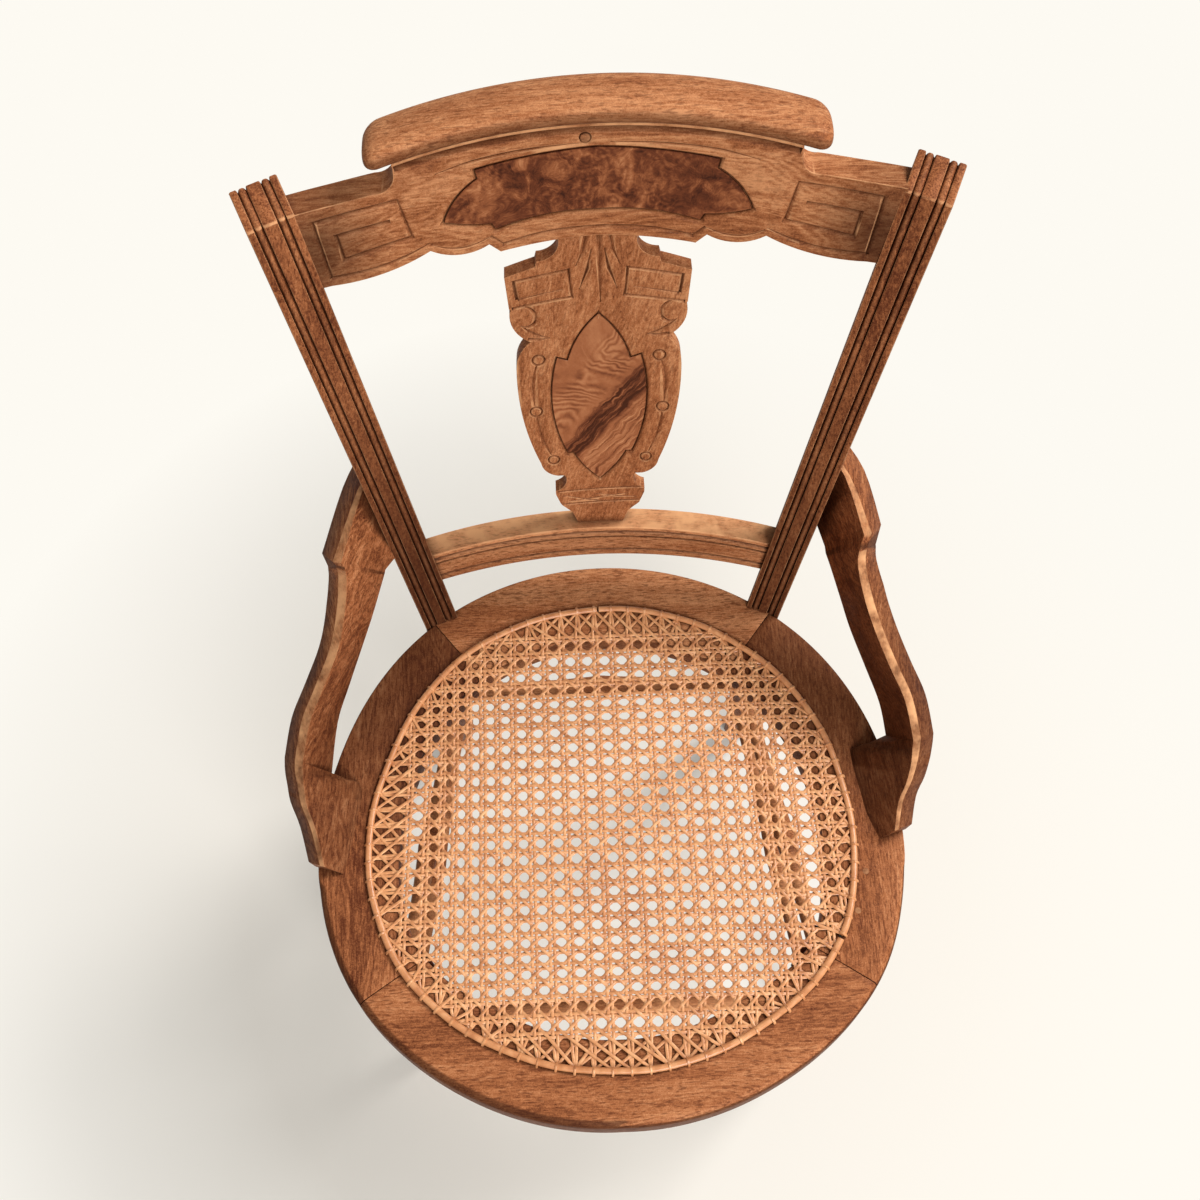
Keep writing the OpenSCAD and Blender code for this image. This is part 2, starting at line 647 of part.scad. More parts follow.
module post_screws() {
    color(steel) {
        post_screw(1, 0);
        post_screw(-1, 0);
    }
}

// The base
leg_x = leg_ring_r * cos(leg_a);
leg_y = seat_y - leg_ring_r * sin(leg_a);
leg_h = seat_h - seat_t;
module front_leg_tenon(grow) {
    translate([leg_x, leg_y, leg_h - 1]) cylinder(d = tenon_d + 2 * grow, h = tenon_l + 1 + grow, $fn = 48);
}
function leg_taper(z) = leg_foot_d / 2 + (leg_d / 2 - 4 - leg_foot_d / 2) * z / (leg_h - 120);
module front_leg_solid() {
    r = leg_d / 2;
    profile = concat([[0, 0], [leg_foot_d / 2 - 1.5, 0], [leg_foot_d / 2, 1.5], [leg_taper(38), 38]],
        bulge_arc([leg_taper(38) + 1, 39], [leg_taper(38) + 1, 47], 2.4, 6),
        [[leg_taper(48), 48], [leg_taper(leg_h - 120), leg_h - 120]],
        bulge_arc([r - 2, leg_h - 119], [r - 2, leg_h - 111], 2.4, 6),
        bulge_arc([r - 6, leg_h - 110], [r - 6, leg_h - 72], 5, 8),
        bulge_arc([r - 2, leg_h - 70], [r - 2, leg_h - 62], 2.4, 6),
        [[r - 4, leg_h - 60], [r, leg_h - 54], [r, leg_h], [0, leg_h]]);
    difference() {
        union() {
            translate([leg_x, leg_y, 0]) rotate_extrude($fn = 64) polygon(profile);
            front_leg_tenon(0);
        }
        front_stretcher_rod(fit);
        for (z = side_heights) side_rod(z, fit);
    }
}
module front_leg_right() {
    color(walnut) front_leg_solid();
}
module front_leg_left() {
    color(walnut) mirror([1, 0, 0]) front_leg_solid();
}

// A turned rod from a to b, thickest at its middle, with straight ends
module rod(a, b, grow) {
    l = norm(b - a);
    d = unit(b - a);
    r = stretcher_d / 2;
    e = stretcher_end_d / 2;
    translate(a) rotate([0, acos(d[2]), atan2(d[1], d[0])])
        if (grow > 0) translate([0, 0, -grow]) cylinder(r = e + grow, h = l + 2 * grow, $fn = 32);
        else rotate_extrude($fn = 48) polygon(concat([[0, 0], [e - 0.8, 0], [e, 0.8], [e, 30]],
            bulge_arc([e, 30], [r, l / 2], 1.5, 8), bulge_arc([r, l / 2], [e, l - 30], 1.5, 8),
            [[e, l - 0.8], [e - 0.8, l], [0, l]]));
}
side_heights = [side_stretcher_z, side_stretcher_z + side_stretcher_gap];
module side_rod(z, grow) {
    a = [leg_x, leg_y, z];
    p = rear_leg_at(z - seat_h);
    b = [p[0], p[1] + seat_y, z];
    d = unit(b - a);
    rod(a + d * 2, b - d * (post_t / 2 - stretcher_seat), grow);
}
module front_stretcher_rod(grow) {
    rod([-leg_x + 2, leg_y, front_stretcher_z], [leg_x - 2, leg_y, front_stretcher_z], grow);
}
module back_stretcher_rod(grow) {
    p = rear_leg_at(back_stretcher_z - seat_h);
    x = p[0] - post_w0 / 2 + stretcher_seat;
    rod([-x, p[1] + seat_y, back_stretcher_z], [x, p[1] + seat_y, back_stretcher_z], grow);
}
module front_stretcher() {
    color(walnut) front_stretcher_rod(0);
}
module back_stretcher() {
    color(walnut) back_stretcher_rod(0);
}
module side_stretchers_right() {
    color(walnut) for (z = side_heights) side_rod(z, 0);
}
module side_stretchers_left() {
    color(walnut) mirror([1, 0, 0]) for (z = side_heights) side_rod(z, 0);
}
module back_post_right() {
    color(walnut_dark) difference() {
        back_post(1);
        back_stretcher_rod(fit);
        for (z = side_heights) side_rod(z, fit);
    }
}
module back_post_left() {
    color(walnut_dark) difference() {
        back_post(-1);
        back_stretcher_rod(fit);
        mirror([1, 0, 0]) for (z = side_heights) side_rod(z, fit);
    }
}

seat_front_rail();
seat_back_rail();
seat_left_rail();
seat_right_rail();
seat_dowels();
cane_seat();
cane_binder();
seat_plugs();
back_post_left();
back_post_right();
crest_rail();
crest_cap();
crest_panel();
crest_peg();
splat();
splat_panel();
lower_back_rail();
arm_left();
arm_right();
arm_screws();
post_screws();
front_leg_left();
front_leg_right();
front_stretcher();
back_stretcher();
side_stretchers_left();
side_stretchers_right();
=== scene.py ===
import random
from math import asin, atan, atan2, ceil, copysign, cos, degrees, dist, hypot, pi, radians, sin, sqrt, tan

import bmesh
import bpy
from mathutils import Matrix, Vector


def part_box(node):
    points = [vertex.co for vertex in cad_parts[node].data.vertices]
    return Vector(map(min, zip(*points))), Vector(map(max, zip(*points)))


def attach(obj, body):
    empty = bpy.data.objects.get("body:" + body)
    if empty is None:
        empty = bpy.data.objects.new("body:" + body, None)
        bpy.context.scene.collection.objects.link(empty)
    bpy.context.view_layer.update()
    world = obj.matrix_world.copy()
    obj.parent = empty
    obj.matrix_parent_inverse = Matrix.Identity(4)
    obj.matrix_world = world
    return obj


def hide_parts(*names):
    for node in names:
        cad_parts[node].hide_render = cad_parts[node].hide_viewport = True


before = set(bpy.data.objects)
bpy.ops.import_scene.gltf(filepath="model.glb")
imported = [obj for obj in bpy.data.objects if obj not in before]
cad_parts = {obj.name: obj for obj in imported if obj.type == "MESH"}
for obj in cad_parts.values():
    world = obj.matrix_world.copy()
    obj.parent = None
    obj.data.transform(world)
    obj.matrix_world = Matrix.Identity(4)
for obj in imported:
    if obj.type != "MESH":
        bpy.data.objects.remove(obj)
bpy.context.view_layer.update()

# Everything is worked in millimetres and brought to metres when a piece is finished.
MM = 0.001
QUARTER = pi / 2

# The round seat: its frame, the level of its top, the ring of caning holes and the cane
SEAT_R = 218.5
OPENING_R = 157.0
SEAT_T = 26.0
SEAT_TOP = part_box("seat_front_rail")[1].z / MM
SEAT_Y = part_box("seat_front_rail")[0].y / MM + SEAT_R
HOLE_RING_R = 180.5
HOLES = 84
HOLE_R = 2.4
CANE_TOP = 1.8
STRAND_WIDTH = 2.35
BINDER_R = 180.8

# The back: its rake and bow, the crest, the cap and the splat
RAKE = radians(13.4)
BOW_R = 615.0
BACK_Y = 192.6
CREST_T = 21.5
CAP_TOP_W = 457.0
ARCH_R = 560.0
CREST_HOLLOW_W = 440.8
SPLAT_V = 7.0
SPLAT_T = 11.0
# The old back has racked: from this height up, over so much height, by so much for each millimetre across
RACKED_FROM, RACKED_OVER, RACKED = 80, 120, 0.019


# ---------------------------------------------------------------- places

def on_seat(x, y, z):
    """A point given from the seat's centre, at the level of its top."""
    return Vector((x, SEAT_Y + y, SEAT_TOP + z))


def on_back(s, v, w):
    """A point of the back: s along the bow, v behind its face, w up the rake. The old back is a little racked."""
    w += RACKED * s * min(1.0, max(0.0, (w - RACKED_FROM) / RACKED_OVER))
    x = BOW_R * sin(s / BOW_R)
    y = sqrt((BOW_R + v) ** 2 - x * x) - BOW_R
    return on_seat(x, BACK_Y + y * cos(RAKE) + w * sin(RAKE), w * cos(RAKE) - y * sin(RAKE))


def swell(x, y):
    """How far the old seat stands out of round there: fuller at its front corners, flatter between."""
    a = degrees(atan2(y, x))
    a = a if a >= -90 else a + 360
    for p, q in zip(SWELL, SWELL[1:]):
        if p[0] <= a <= q[0]:
            return p[1] + (q[1] - p[1]) * (a - p[0]) / (q[0] - p[0])
    return SWELL[0][1]


def settled(x, y):
    """A point of the round seat brought to the old seat's true outline, from its centre."""
    r = max(1.0, hypot(x, y))
    by = swell(x, y) * min(1.0, (r / HOLE_RING_R) ** 4)
    return x * (1 + by / r), y * (1 + by / r)


def polar(r, angle):
    return r * cos(angle), r * sin(angle)


def arch(s):
    """How far the crest has fallen from its middle at s along the bow."""
    return ARCH_R - sqrt(ARCH_R * ARCH_R - s * s)


# ---------------------------------------------------------------- lines

def arc(a, b, rise, n=8):
    """Points from a to b on an arc that stands out by rise to the left of the way."""
    ax, ay = a
    bx, by = b
    half = hypot(bx - ax, by - ay) / 2
    r = (half * half + rise * rise) / (2 * abs(rise))
    k = copysign(1, rise)
    nx, ny = (ay - by) / (2 * half) * k, (bx - ax) / (2 * half) * k
    ox, oy = (ax + bx) / 2 - nx * (r - abs(rise)), (ay + by) / 2 - ny * (r - abs(rise))
    start = atan2(ay - oy, ax - ox)
    turn = 2 * asin(min(1.0, half / r))
    angles = [start - k * turn * i / n for i in range(n + 1)]
    return [(ox + r * cos(angle), oy + r * sin(angle)) for angle in angles]


def eased(points, steps=5):
    """A smooth line through the points, of any dimension."""
    p = [Vector(q) for q in points]
    out = []
    for i in range(len(p) - 1):
        a, b, c, d = p[max(i - 1, 0)], p[i], p[i + 1], p[min(i + 2, len(p) - 1)]
        for k in range(steps):
            t = k / steps
            square, cube = 2 * a - 5 * b + 4 * c - d, 3 * b - a - 3 * c + d
            out.append((2 * b + (c - a) * t + square * t * t + cube * t ** 3) / 2)
    out.append(p[-1])
    return out


# How far the rim of the old seat stands out, in millimetres, at an angle from straight right
SWELL = eased([(-90, -4.6), (-60, -1.6), (-33, 4.2), (-15, 1.0), (5, -3.0), (20, -3.6), (50, -1.6), (90, -1.5),
               (125, -1.4), (160, -4.7), (180, -1.2), (210, 3.6), (240, -1.4), (270, -4.6)], 6)


def both_halves(half):
    """The whole outline from its right half, which runs from the middle line back to it."""
    return tidy_line(list(half) + [(-x, y) for x, y in reversed(half)])


def tidy_line(points):
    """The closed line without points that lie on the one before."""
    least = 0.05
    out = []
    for p in points:
        if not out or dist(p, out[-1]) > least:
            out.append(tuple(p))
    if dist(out[0], out[-1]) <= least:
        out.pop()
    return out


def flip_x(points):
    return [(-p[0],) + tuple(p[1:]) for p in points]


# ---------------------------------------------------------------- meshes

def outward(bm):
    bmesh.ops.recalc_face_normals(bm, faces=bm.faces)


def skin(rings, closed=False, caps=(0, -1), wear_and_painted_light=()):
    """A skin bridged through rings of equally many points, with caps on those rings unless it is closed.

    The last argument holds, for each ring, the marks of its first points: above nothing worn bare wood with a painted
    highlight, below it painted shade.
    """
    bm = bmesh.new()
    layer = bm.verts.layers.float.new("wear_and_painted_light") if wear_and_painted_light else None
    loops = []
    for i, ring in enumerate(rings):
        verts = [bm.verts.new(p) for p in ring]
        loops.append([bm.edges.new(pair) for pair in zip(verts, verts[1:] + verts[:1])])
        for v, mark in zip(verts, wear_and_painted_light[i] if wear_and_painted_light else ()):
            v[layer] = mark
    for a, b in zip(loops, loops[1:] + (loops[:1] if closed else [])):
        bmesh.ops.bridge_loops(bm, edges=a + b)
    for i in () if closed else caps:
        bmesh.ops.contextual_create(bm, geom=loops[i])
    return bm


def turned(profile, steps=48):
    """A turning about the z axis from a profile of (radius, height)."""
    bm = bmesh.new()
    verts = [bm.verts.new((r, 0, z)) for r, z in profile]
    edges = [bm.edges.new(pair) for pair in zip(verts, verts[1:])]
    bmesh.ops.spin(bm, geom=verts + edges, cent=(0, 0, 0), axis=(0, 0, 1), angle=2 * pi, steps=steps,
                   use_merge=True)
    bmesh.ops.remove_doubles(bm, verts=bm.verts, dist=1e-4)
    outward(bm)
    return bm


def swept(profile, a0, a1, steps):
    """A closed profile of (radius, height) swept round the z axis from a0 to a1 degrees, open at both ends."""
    bm = bmesh.new()
    verts = [bm.verts.new((r, 0, z)) for r, z in profile]
    edges = [bm.edges.new((verts[i], verts[(i + 1) % len(verts)])) for i in range(len(verts))]
    bmesh.ops.rotate(bm, cent=(0, 0, 0), matrix=Matrix.Rotation(radians(a0), 3, "Z"), verts=verts)
    bmesh.ops.spin(bm, geom=verts + edges, cent=(0, 0, 0), axis=(0, 0, 1), angle=radians(a1 - a0), steps=steps)
    return bm


def close_holes(bm):
    bmesh.ops.holes_fill(bm, edges=[e for e in bm.edges if e.is_boundary])


def sliced(bm, place, normal, **cleared):
    """Cuts a mesh across. Where one side is cleared, the cut is closed."""
    everything = bm.verts[:] + bm.edges[:] + bm.faces[:]
    bmesh.ops.bisect_plane(bm, geom=everything, dist=1e-4, plane_co=place, plane_no=normal, **cleared)
    if cleared:
        close_holes(bm)


def moved(bm, matrix):
    bmesh.ops.transform(bm, matrix=matrix, verts=bm.verts)
    return bm


def linked(name, data):
    """A new object in the scene."""
    made = bpy.data.objects.new(name, data)
    bpy.context.scene.collection.objects.link(made)
    return made


def mesh_of(name, bm):
    """A mesh of a bmesh, which is freed."""
    mesh = bpy.data.meshes.new(name)
    bm.to_mesh(mesh)
    bm.free()
    return mesh


def joined(*parts):
    """One bmesh of several, which are freed."""
    whole = bmesh.new()
    for part in parts:
        mesh = mesh_of("part", part)
        whole.from_mesh(mesh)
        bpy.data.meshes.remove(mesh)
    return whole


def evaluated(thing):
    """A bmesh of an object as its modifiers or its bevel make it."""
    graph = bpy.context.evaluated_depsgraph_get()
    mesh = bpy.data.meshes.new_from_object(thing.evaluated_get(graph))
    bm = bmesh.new()
    bm.from_mesh(mesh)
    bpy.data.meshes.remove(mesh)
    return bm


def soften(bm, size, sharp=30, segments=3, only=None):
    """Rounds the sharp edges, or those of them that only accepts."""
    bent = [e for e in bm.edges if e.is_manifold and e.calc_face_angle(0) > radians(sharp)]
    bevelled(bm, [e for e in bent if only is None or only(e)], size, segments)
    return bm


def bevelled(bm, edges, size, segments):
    bmesh.ops.bevel(bm, geom=edges, offset=size, offset_type="OFFSET", segments=segments, profile=0.5, affect="EDGES",
                    clamp_overlap=True, material=-1)


def carved(bm, cutters):
    """bm with the cutters taken out of it."""
    for part in (bm, *cutters):
        outward(part)
    board = linked("board", mesh_of("board", bm))
    tool = linked("tool", mesh_of("tool", joined(*cutters)))
    cut = board.modifiers.new("cut", "BOOLEAN")
    cut.operation, cut.solver, cut.use_self, cut.object = "DIFFERENCE", "EXACT", True, tool
    out = evaluated(board)
    for thing in (board, tool):
        old = thing.data
        bpy.data.objects.remove(thing)
        bpy.data.meshes.remove(old)
    return out


def plank(outline, v0, v1):
    """A flat board: x along, y through and z up."""
    bm = bmesh.new()
    face = bm.faces.new([bm.verts.new((s, v0, w)) for s, w in tidy_line(outline)])
    made = bmesh.ops.extrude_face_region(bm, geom=[face])
    bmesh.ops.translate(bm, vec=(0, v1 - v0, 0), verts=[g for g in made["geom"] if isinstance(g, bmesh.types.BMVert)])
    close_holes(bm)
    outward(bm)
    return bm


def groove(line, width, depth, v=0.0, closed=False, ends=(1.0, 1.0)):
    """The cutter of a V-shaped incised line with eased lips, on a face at depth v. The ends may run out to nothing."""
    # The eased lips are narrow facets, which are marked worn and so get a painted highlight.
    bolder, lift, lip, eased_by = 1.55, 0.4, 0.5, 0.28
    width, depth = width * bolder, depth * bolder
    pts = [Vector((p[0], p[1])) for p in line]
    n = len(pts)
    rings = []
    for i, p in enumerate(pts):
        before = pts[i - 1] if closed or i else None
        after = pts[(i + 1) % n] if closed or i < n - 1 else None
        d0 = (p - before).normalized() if before is not None else (after - p).normalized()
        d1 = (after - p).normalized() if after is not None else d0
        d = (d0 + d1).normalized()
        side = Vector((-d.y, d.x))
        mitre = 1 / max(0.45, side.dot(Vector((-d0.y, d0.x))))
        t = i / (n - 1)
        k = ends[0] + (1 - ends[0]) * min(1, t * 3) if t < 0.5 else ends[1] + (1 - ends[1]) * min(1, (1 - t) * 3)
        top = (width / 2 * k + lip * (1 + lift / eased_by)) * mitre
        edge = width / 2 * k * mitre
        profile = ((top, v - lift), (-top, v - lift), (-edge, v + eased_by), (0, v + eased_by + depth * k),
                   (edge, v + eased_by))
        rings.append([(p.x + side.x * across, deep, p.y + side.y * across) for across, deep in profile])
    return skin(rings, closed=closed)


def ring_line(s, w, r, n=18, k=1.0):
    """A small ring about (s, w), k times as high as it is wide."""
    return [(s + r * cos(2 * pi * i / n), w + r * k * sin(2 * pi * i / n)) for i in range(n)]


def bowed(bm, step=5.0):
    """Bends a flat board to the bow of the back, after cutting it across so that it can bend."""
    low = min(v.co.x for v in bm.verts)
    high = max(v.co.x for v in bm.verts)
    x = ceil(low / step) * step
    while x < high:
        if x - low > 0.3 and high - x > 0.3:
            sliced(bm, (x + 0.013, 0, 0), (1, 0, 0))
        x += step
    for v in bm.verts:
        v.co = on_back(*v.co)
    return bm


def mark_wear_and_painted_light(bm):
    """Marks corners of narrow facets: above nothing on rounded edges and eased lips, which are worn bare and get a
    painted highlight, and below it in grooves, which get painted shade.
    """
    if bm.verts.layers.float.get("wear_and_painted_light"):
        return
    layer = bm.verts.layers.float.new("wear_and_painted_light")
    width = 1.7
    narrow = {}
    for f in bm.faces:
        longest = max(e.calc_length() for e in f.edges)
        narrow[f.index] = f.calc_area() < longest * width
    for v in bm.verts:
        if v.link_faces and all(narrow[f.index] for f in v.link_faces):
            bend = sum(e.calc_face_angle_signed(0) for e in v.link_edges if e.is_manifold)
            v[layer] = 1.0 if bend > 0.15 else (-1.0 if bend < -0.15 else 0.0)


def finish_piece(name, bm, material, nodes=(), sharp=38):
    """The piece in metres, with its material, which rides on the chair and may stand for CAD nodes."""
    bmesh.ops.remove_doubles(bm, verts=bm.verts, dist=1e-3)
    outward(bm)
    bm.faces.index_update()
    mark_wear_and_painted_light(bm)
    mesh = mesh_of(name, bm)
    mesh.transform(Matrix.Scale(MM, 4))
    mesh.materials.append(material)
    mesh.shade_smooth()
    mesh.set_sharp_from_angle(angle=radians(sharp))
    made = linked(name, mesh)
    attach(made, "root")
    if nodes:
        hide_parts(*nodes)


# ---------------------------------------------------------------- finishes

def linear(r, g, b):
    """A colour read by eye, 0 to 255, as the shader wants it."""
    def straight(c):
        return c / 12.92 if c <= 0.04045 else ((c + 0.055) / 1.055) ** 2.4
    return tuple(straight(c / 255) for c in (r, g, b)) + (1.0,)


class Nodes:
    """A node tree and the plain kinds of node that are added to it."""

    def __init__(self, tree):
        self.tree = tree

    def node(self, kind, settings=None, **inputs):
        """A node with its settings. An input goes by its name, with _ for a space, or by its number, as i0."""
        made = self.tree.nodes.new(kind)
        for key, value in (settings or {}).items():
            setattr(made, key, value)
        for key, value in inputs.items():
            numbered = key[0] == "i" and key[1:].isdigit()
            self.give(made.inputs[int(key[1:]) if numbered else key.replace("_", " ")], value)
        return made

    def give(self, socket, value):
        if isinstance(value, bpy.types.NodeSocket):
            self.tree.links.new(value, socket)
        elif isinstance(value, bpy.types.Node):
            self.tree.links.new(value.outputs[0], socket)
        else:
            socket.default_value = value

    def math(self, operation, a, b=0.0, c=0.0):
        return self.node("ShaderNodeMath", {"operation": operation}, i0=a, i1=b, i2=c).outputs[0]

    def between(self, value, low, high, to_low=0.0, to_high=1.0):
        return self.node("ShaderNodeMapRange", {"clamp": True}, Value=value, From_Min=low, From_Max=high,
                         To_Min=to_low, To_Max=to_high).outputs[0]

    def times(self, a, b):
        return self.math("MULTIPLY", a, b)

    def vector(self, operation, a, b=(0, 0, 0), c=(0, 0, 0)):
        made = self.node("ShaderNodeVectorMath", {"operation": operation}, i0=a, i1=b, i2=c)
        return made.outputs["Value" if operation in ("DISTANCE", "DOT_PRODUCT", "LENGTH") else "Vector"]

    def seen_directly(self):
        """1 for what the camera sees, also in or through a piece, and 0 for the light that falls on the chair."""
        ray = self.node("ShaderNodeLightPath").outputs
        reflected_or_through = self.math("MAXIMUM", ray["Is Glossy Ray"], ray["Is Transmission Ray"])
        return self.math("MAXIMUM", ray["Is Camera Ray"], reflected_or_through)


class Finish(Nodes):
    """A material, its place coordinates and the textures that it is made of."""

    def __init__(self, name):
        self.material = bpy.data.materials.new(name)
        self.material.use_nodes = True
        super().__init__(self.material.node_tree)
        self.shader = self.tree.nodes["Principled BSDF"]
        self.place = self.node("ShaderNodeTexCoord").outputs["Object"]

    def mapped(self, turn=(0, 0, 0), size=(1, 1, 1), shift=(0, 0, 0)):
        place = self.node("ShaderNodeMapping", {"vector_type": "POINT"}, Vector=self.place, Rotation=turn,
                          Location=shift)
        return self.vector("MULTIPLY", place, size)

    def noise(self, place, scale, detail=3.0, rough=0.55, warp=0.0):
        return self.node("ShaderNodeTexNoise", None, Vector=place, Scale=scale, Detail=detail, Roughness=rough,
                         Distortion=warp).outputs

    def nooks(self, reach, samples=6):
        """Falls from 1 towards 0 in corners and under edges."""
        return self.node("ShaderNodeAmbientOcclusion", {"samples": samples}, Distance=reach).outputs["AO"]

    def soften_shine(self, specular, ior):
        self.shader.inputs["Specular IOR Level"].default_value = specular
        self.shader.inputs["IOR"].default_value = ior

    def ramp(self, value, stops):
        made = self.node("ShaderNodeValToRGB", None, Fac=value)
        ramp = made.color_ramp
        while len(ramp.elements) < len(stops):
            ramp.elements.new(0.5)
        for element, (at, colour) in zip(ramp.elements, stops):
            element.position = at
            element.color = colour
        return made.outputs["Color"]

    def mix(self, amount, a, b):
        made = self.node("ShaderNodeMix", {"data_type": "RGBA", "blend_type": "MIX", "clamp_factor": True})
        self.give(made.inputs[0], amount)
        self.give(made.inputs[6], a)
        self.give(made.inputs[7], b)
        return made.outputs[2]

    def done(self, colour, rough, height, strength, distance, coat=0.0):
        self.give(self.shader.inputs["Base Color"], colour)
        self.give(self.shader.inputs["Roughness"], rough)
        self.shader.inputs["Coat Weight"].default_value = coat
        self.shader.inputs["Coat Roughness"].default_value = 0.28
        bump = self.node("ShaderNodeBump", None, Height=height, Strength=strength, Distance=distance)
        self.give(self.shader.inputs["Normal"], bump.outputs["Normal"])
        return self.material


DARK = linear(92, 47, 28)
MID = linear(164, 101, 63)
LIGHT = linear(209, 146, 101)
# Worn bare wood, with which the marks also paint highlights on edges
BARE_AND_HIGHLIGHT = linear(226, 168, 120)
# The colour of painted shade: in corners, grooves, under edges and round joints
PAINTED_SHADE = linear(50, 22, 12)


def walnut(name, turn=(0, 0, 0), shift=(0, 0, 0), depth=0.0, figure=1.0, pores=1.0, wear_and_painted_light=0.5, lines=0.03, painted_shade_spots=()):
    """Walnut whose grain runs along x before it is turned.

    depth darkens it. Each spot given with it, a place with its reach and amount, gets painted shade round it. The
    amount of wear bares its worn edges and paints a highlight on them.
    """
    f = Finish(name)
    along = f.mapped(turn=turn, shift=shift)

    def stretched(k, source=along):
        return f.vector("MULTIPLY", source, (k, 1, 1))

    bend = f.noise(stretched(0.5), 14, 2, 0.5)["Color"]
    push = f.vector("MULTIPLY_ADD", bend, (0, 0.012, 0.012), along)
    slow = f.noise(stretched(0.20, push), 30, 3, 0.5, 0.4)["Fac"]
    year = f.noise(stretched(0.035, push), 170, 3, 0.55)["Fac"]
    fibre = f.noise(stretched(0.10, push), 800, 2, 0.6)["Fac"]
    tick = f.noise(stretched(0.20, push), 860, 1, 0.5)["Fac"]
    curl = f.noise(along, 560, 2, 0.6, 1.8)["Fac"]
    pore = f.times(f.between(tick, 0.53, 0.68), pores)
    tone = f.math("MULTIPLY_ADD", slow, 0.55, f.math("MULTIPLY_ADD", year, 0.42 * figure, f.times(fibre, 0.50)))
    tone = f.math("MULTIPLY_ADD", f.math("SUBTRACT", curl, 0.5), 0.62, tone)
    tone = f.math("MULTIPLY_ADD", f.math("SINE", f.times(slow, 95)), lines, tone)
    tone = f.math("SUBTRACT", tone, 0.235 + 0.21 * (figure - 1) + depth)
    colour = f.ramp(tone, [(0.22, DARK), (0.50, MID), (0.80, LIGHT)])
    colour = f.mix(f.times(pore, 0.66), colour, DARK)
    # Painted shade round each spot, at the joints
    for place, reach, amount in painted_shade_spots:
        away = f.vector("DISTANCE", f.place, on_seat(*place) * MM)
        colour = f.mix(f.between(away, reach, reach * 0.25, 0.0, amount), colour, PAINTED_SHADE)
    mark = f.node("ShaderNodeAttribute", {"attribute_name": "wear_and_painted_light"}).outputs["Fac"]
    patchy = f.between(f.noise(f.place, 70, 3, 0.6)["Fac"], 0.38, 0.64, 0.2, 1.0)
    # Marks above nothing bare the worn wood and paint a highlight on it
    rubbed_and_highlit = f.times(f.between(mark, 0.15, 0.9), f.times(patchy, wear_and_painted_light))
    colour = f.mix(rubbed_and_highlit, colour, BARE_AND_HIGHLIGHT)
    # Marks below nothing paint shade in grooves, quirks, under edges and on sides turned from the light
    colour = f.mix(f.between(mark, -0.45, -1.0, 0.0, 0.66), colour, PAINTED_SHADE)
    # Painted shade in corners and under edges, from how near other surfaces are
    colour = f.mix(f.between(f.nooks(0.013, 8), 0.86, 0.40, 0.0, 0.70), colour, PAINTED_SHADE)
    rough = f.between(f.math("ADD", slow, f.times(pore, 0.4)), 0.3, 0.9, 0.42, 0.60)
    height = f.math("SUBTRACT", f.times(fibre, 0.5), pore)
    f.soften_shine(0.3, 1.2)
    return f.done(colour, rough, height, 0.15, 0.00015)


def pushed(f, source, scale, by):
    """A place pushed about by a soft noise, up to about so many metres."""
    centred = f.vector("SUBTRACT", f.noise(source, scale, 3, 0.55, 0.3)["Color"], (0.5, 0.5, 0.5))
    return f.vector("MULTIPLY_ADD", centred, (by, by, by), source)


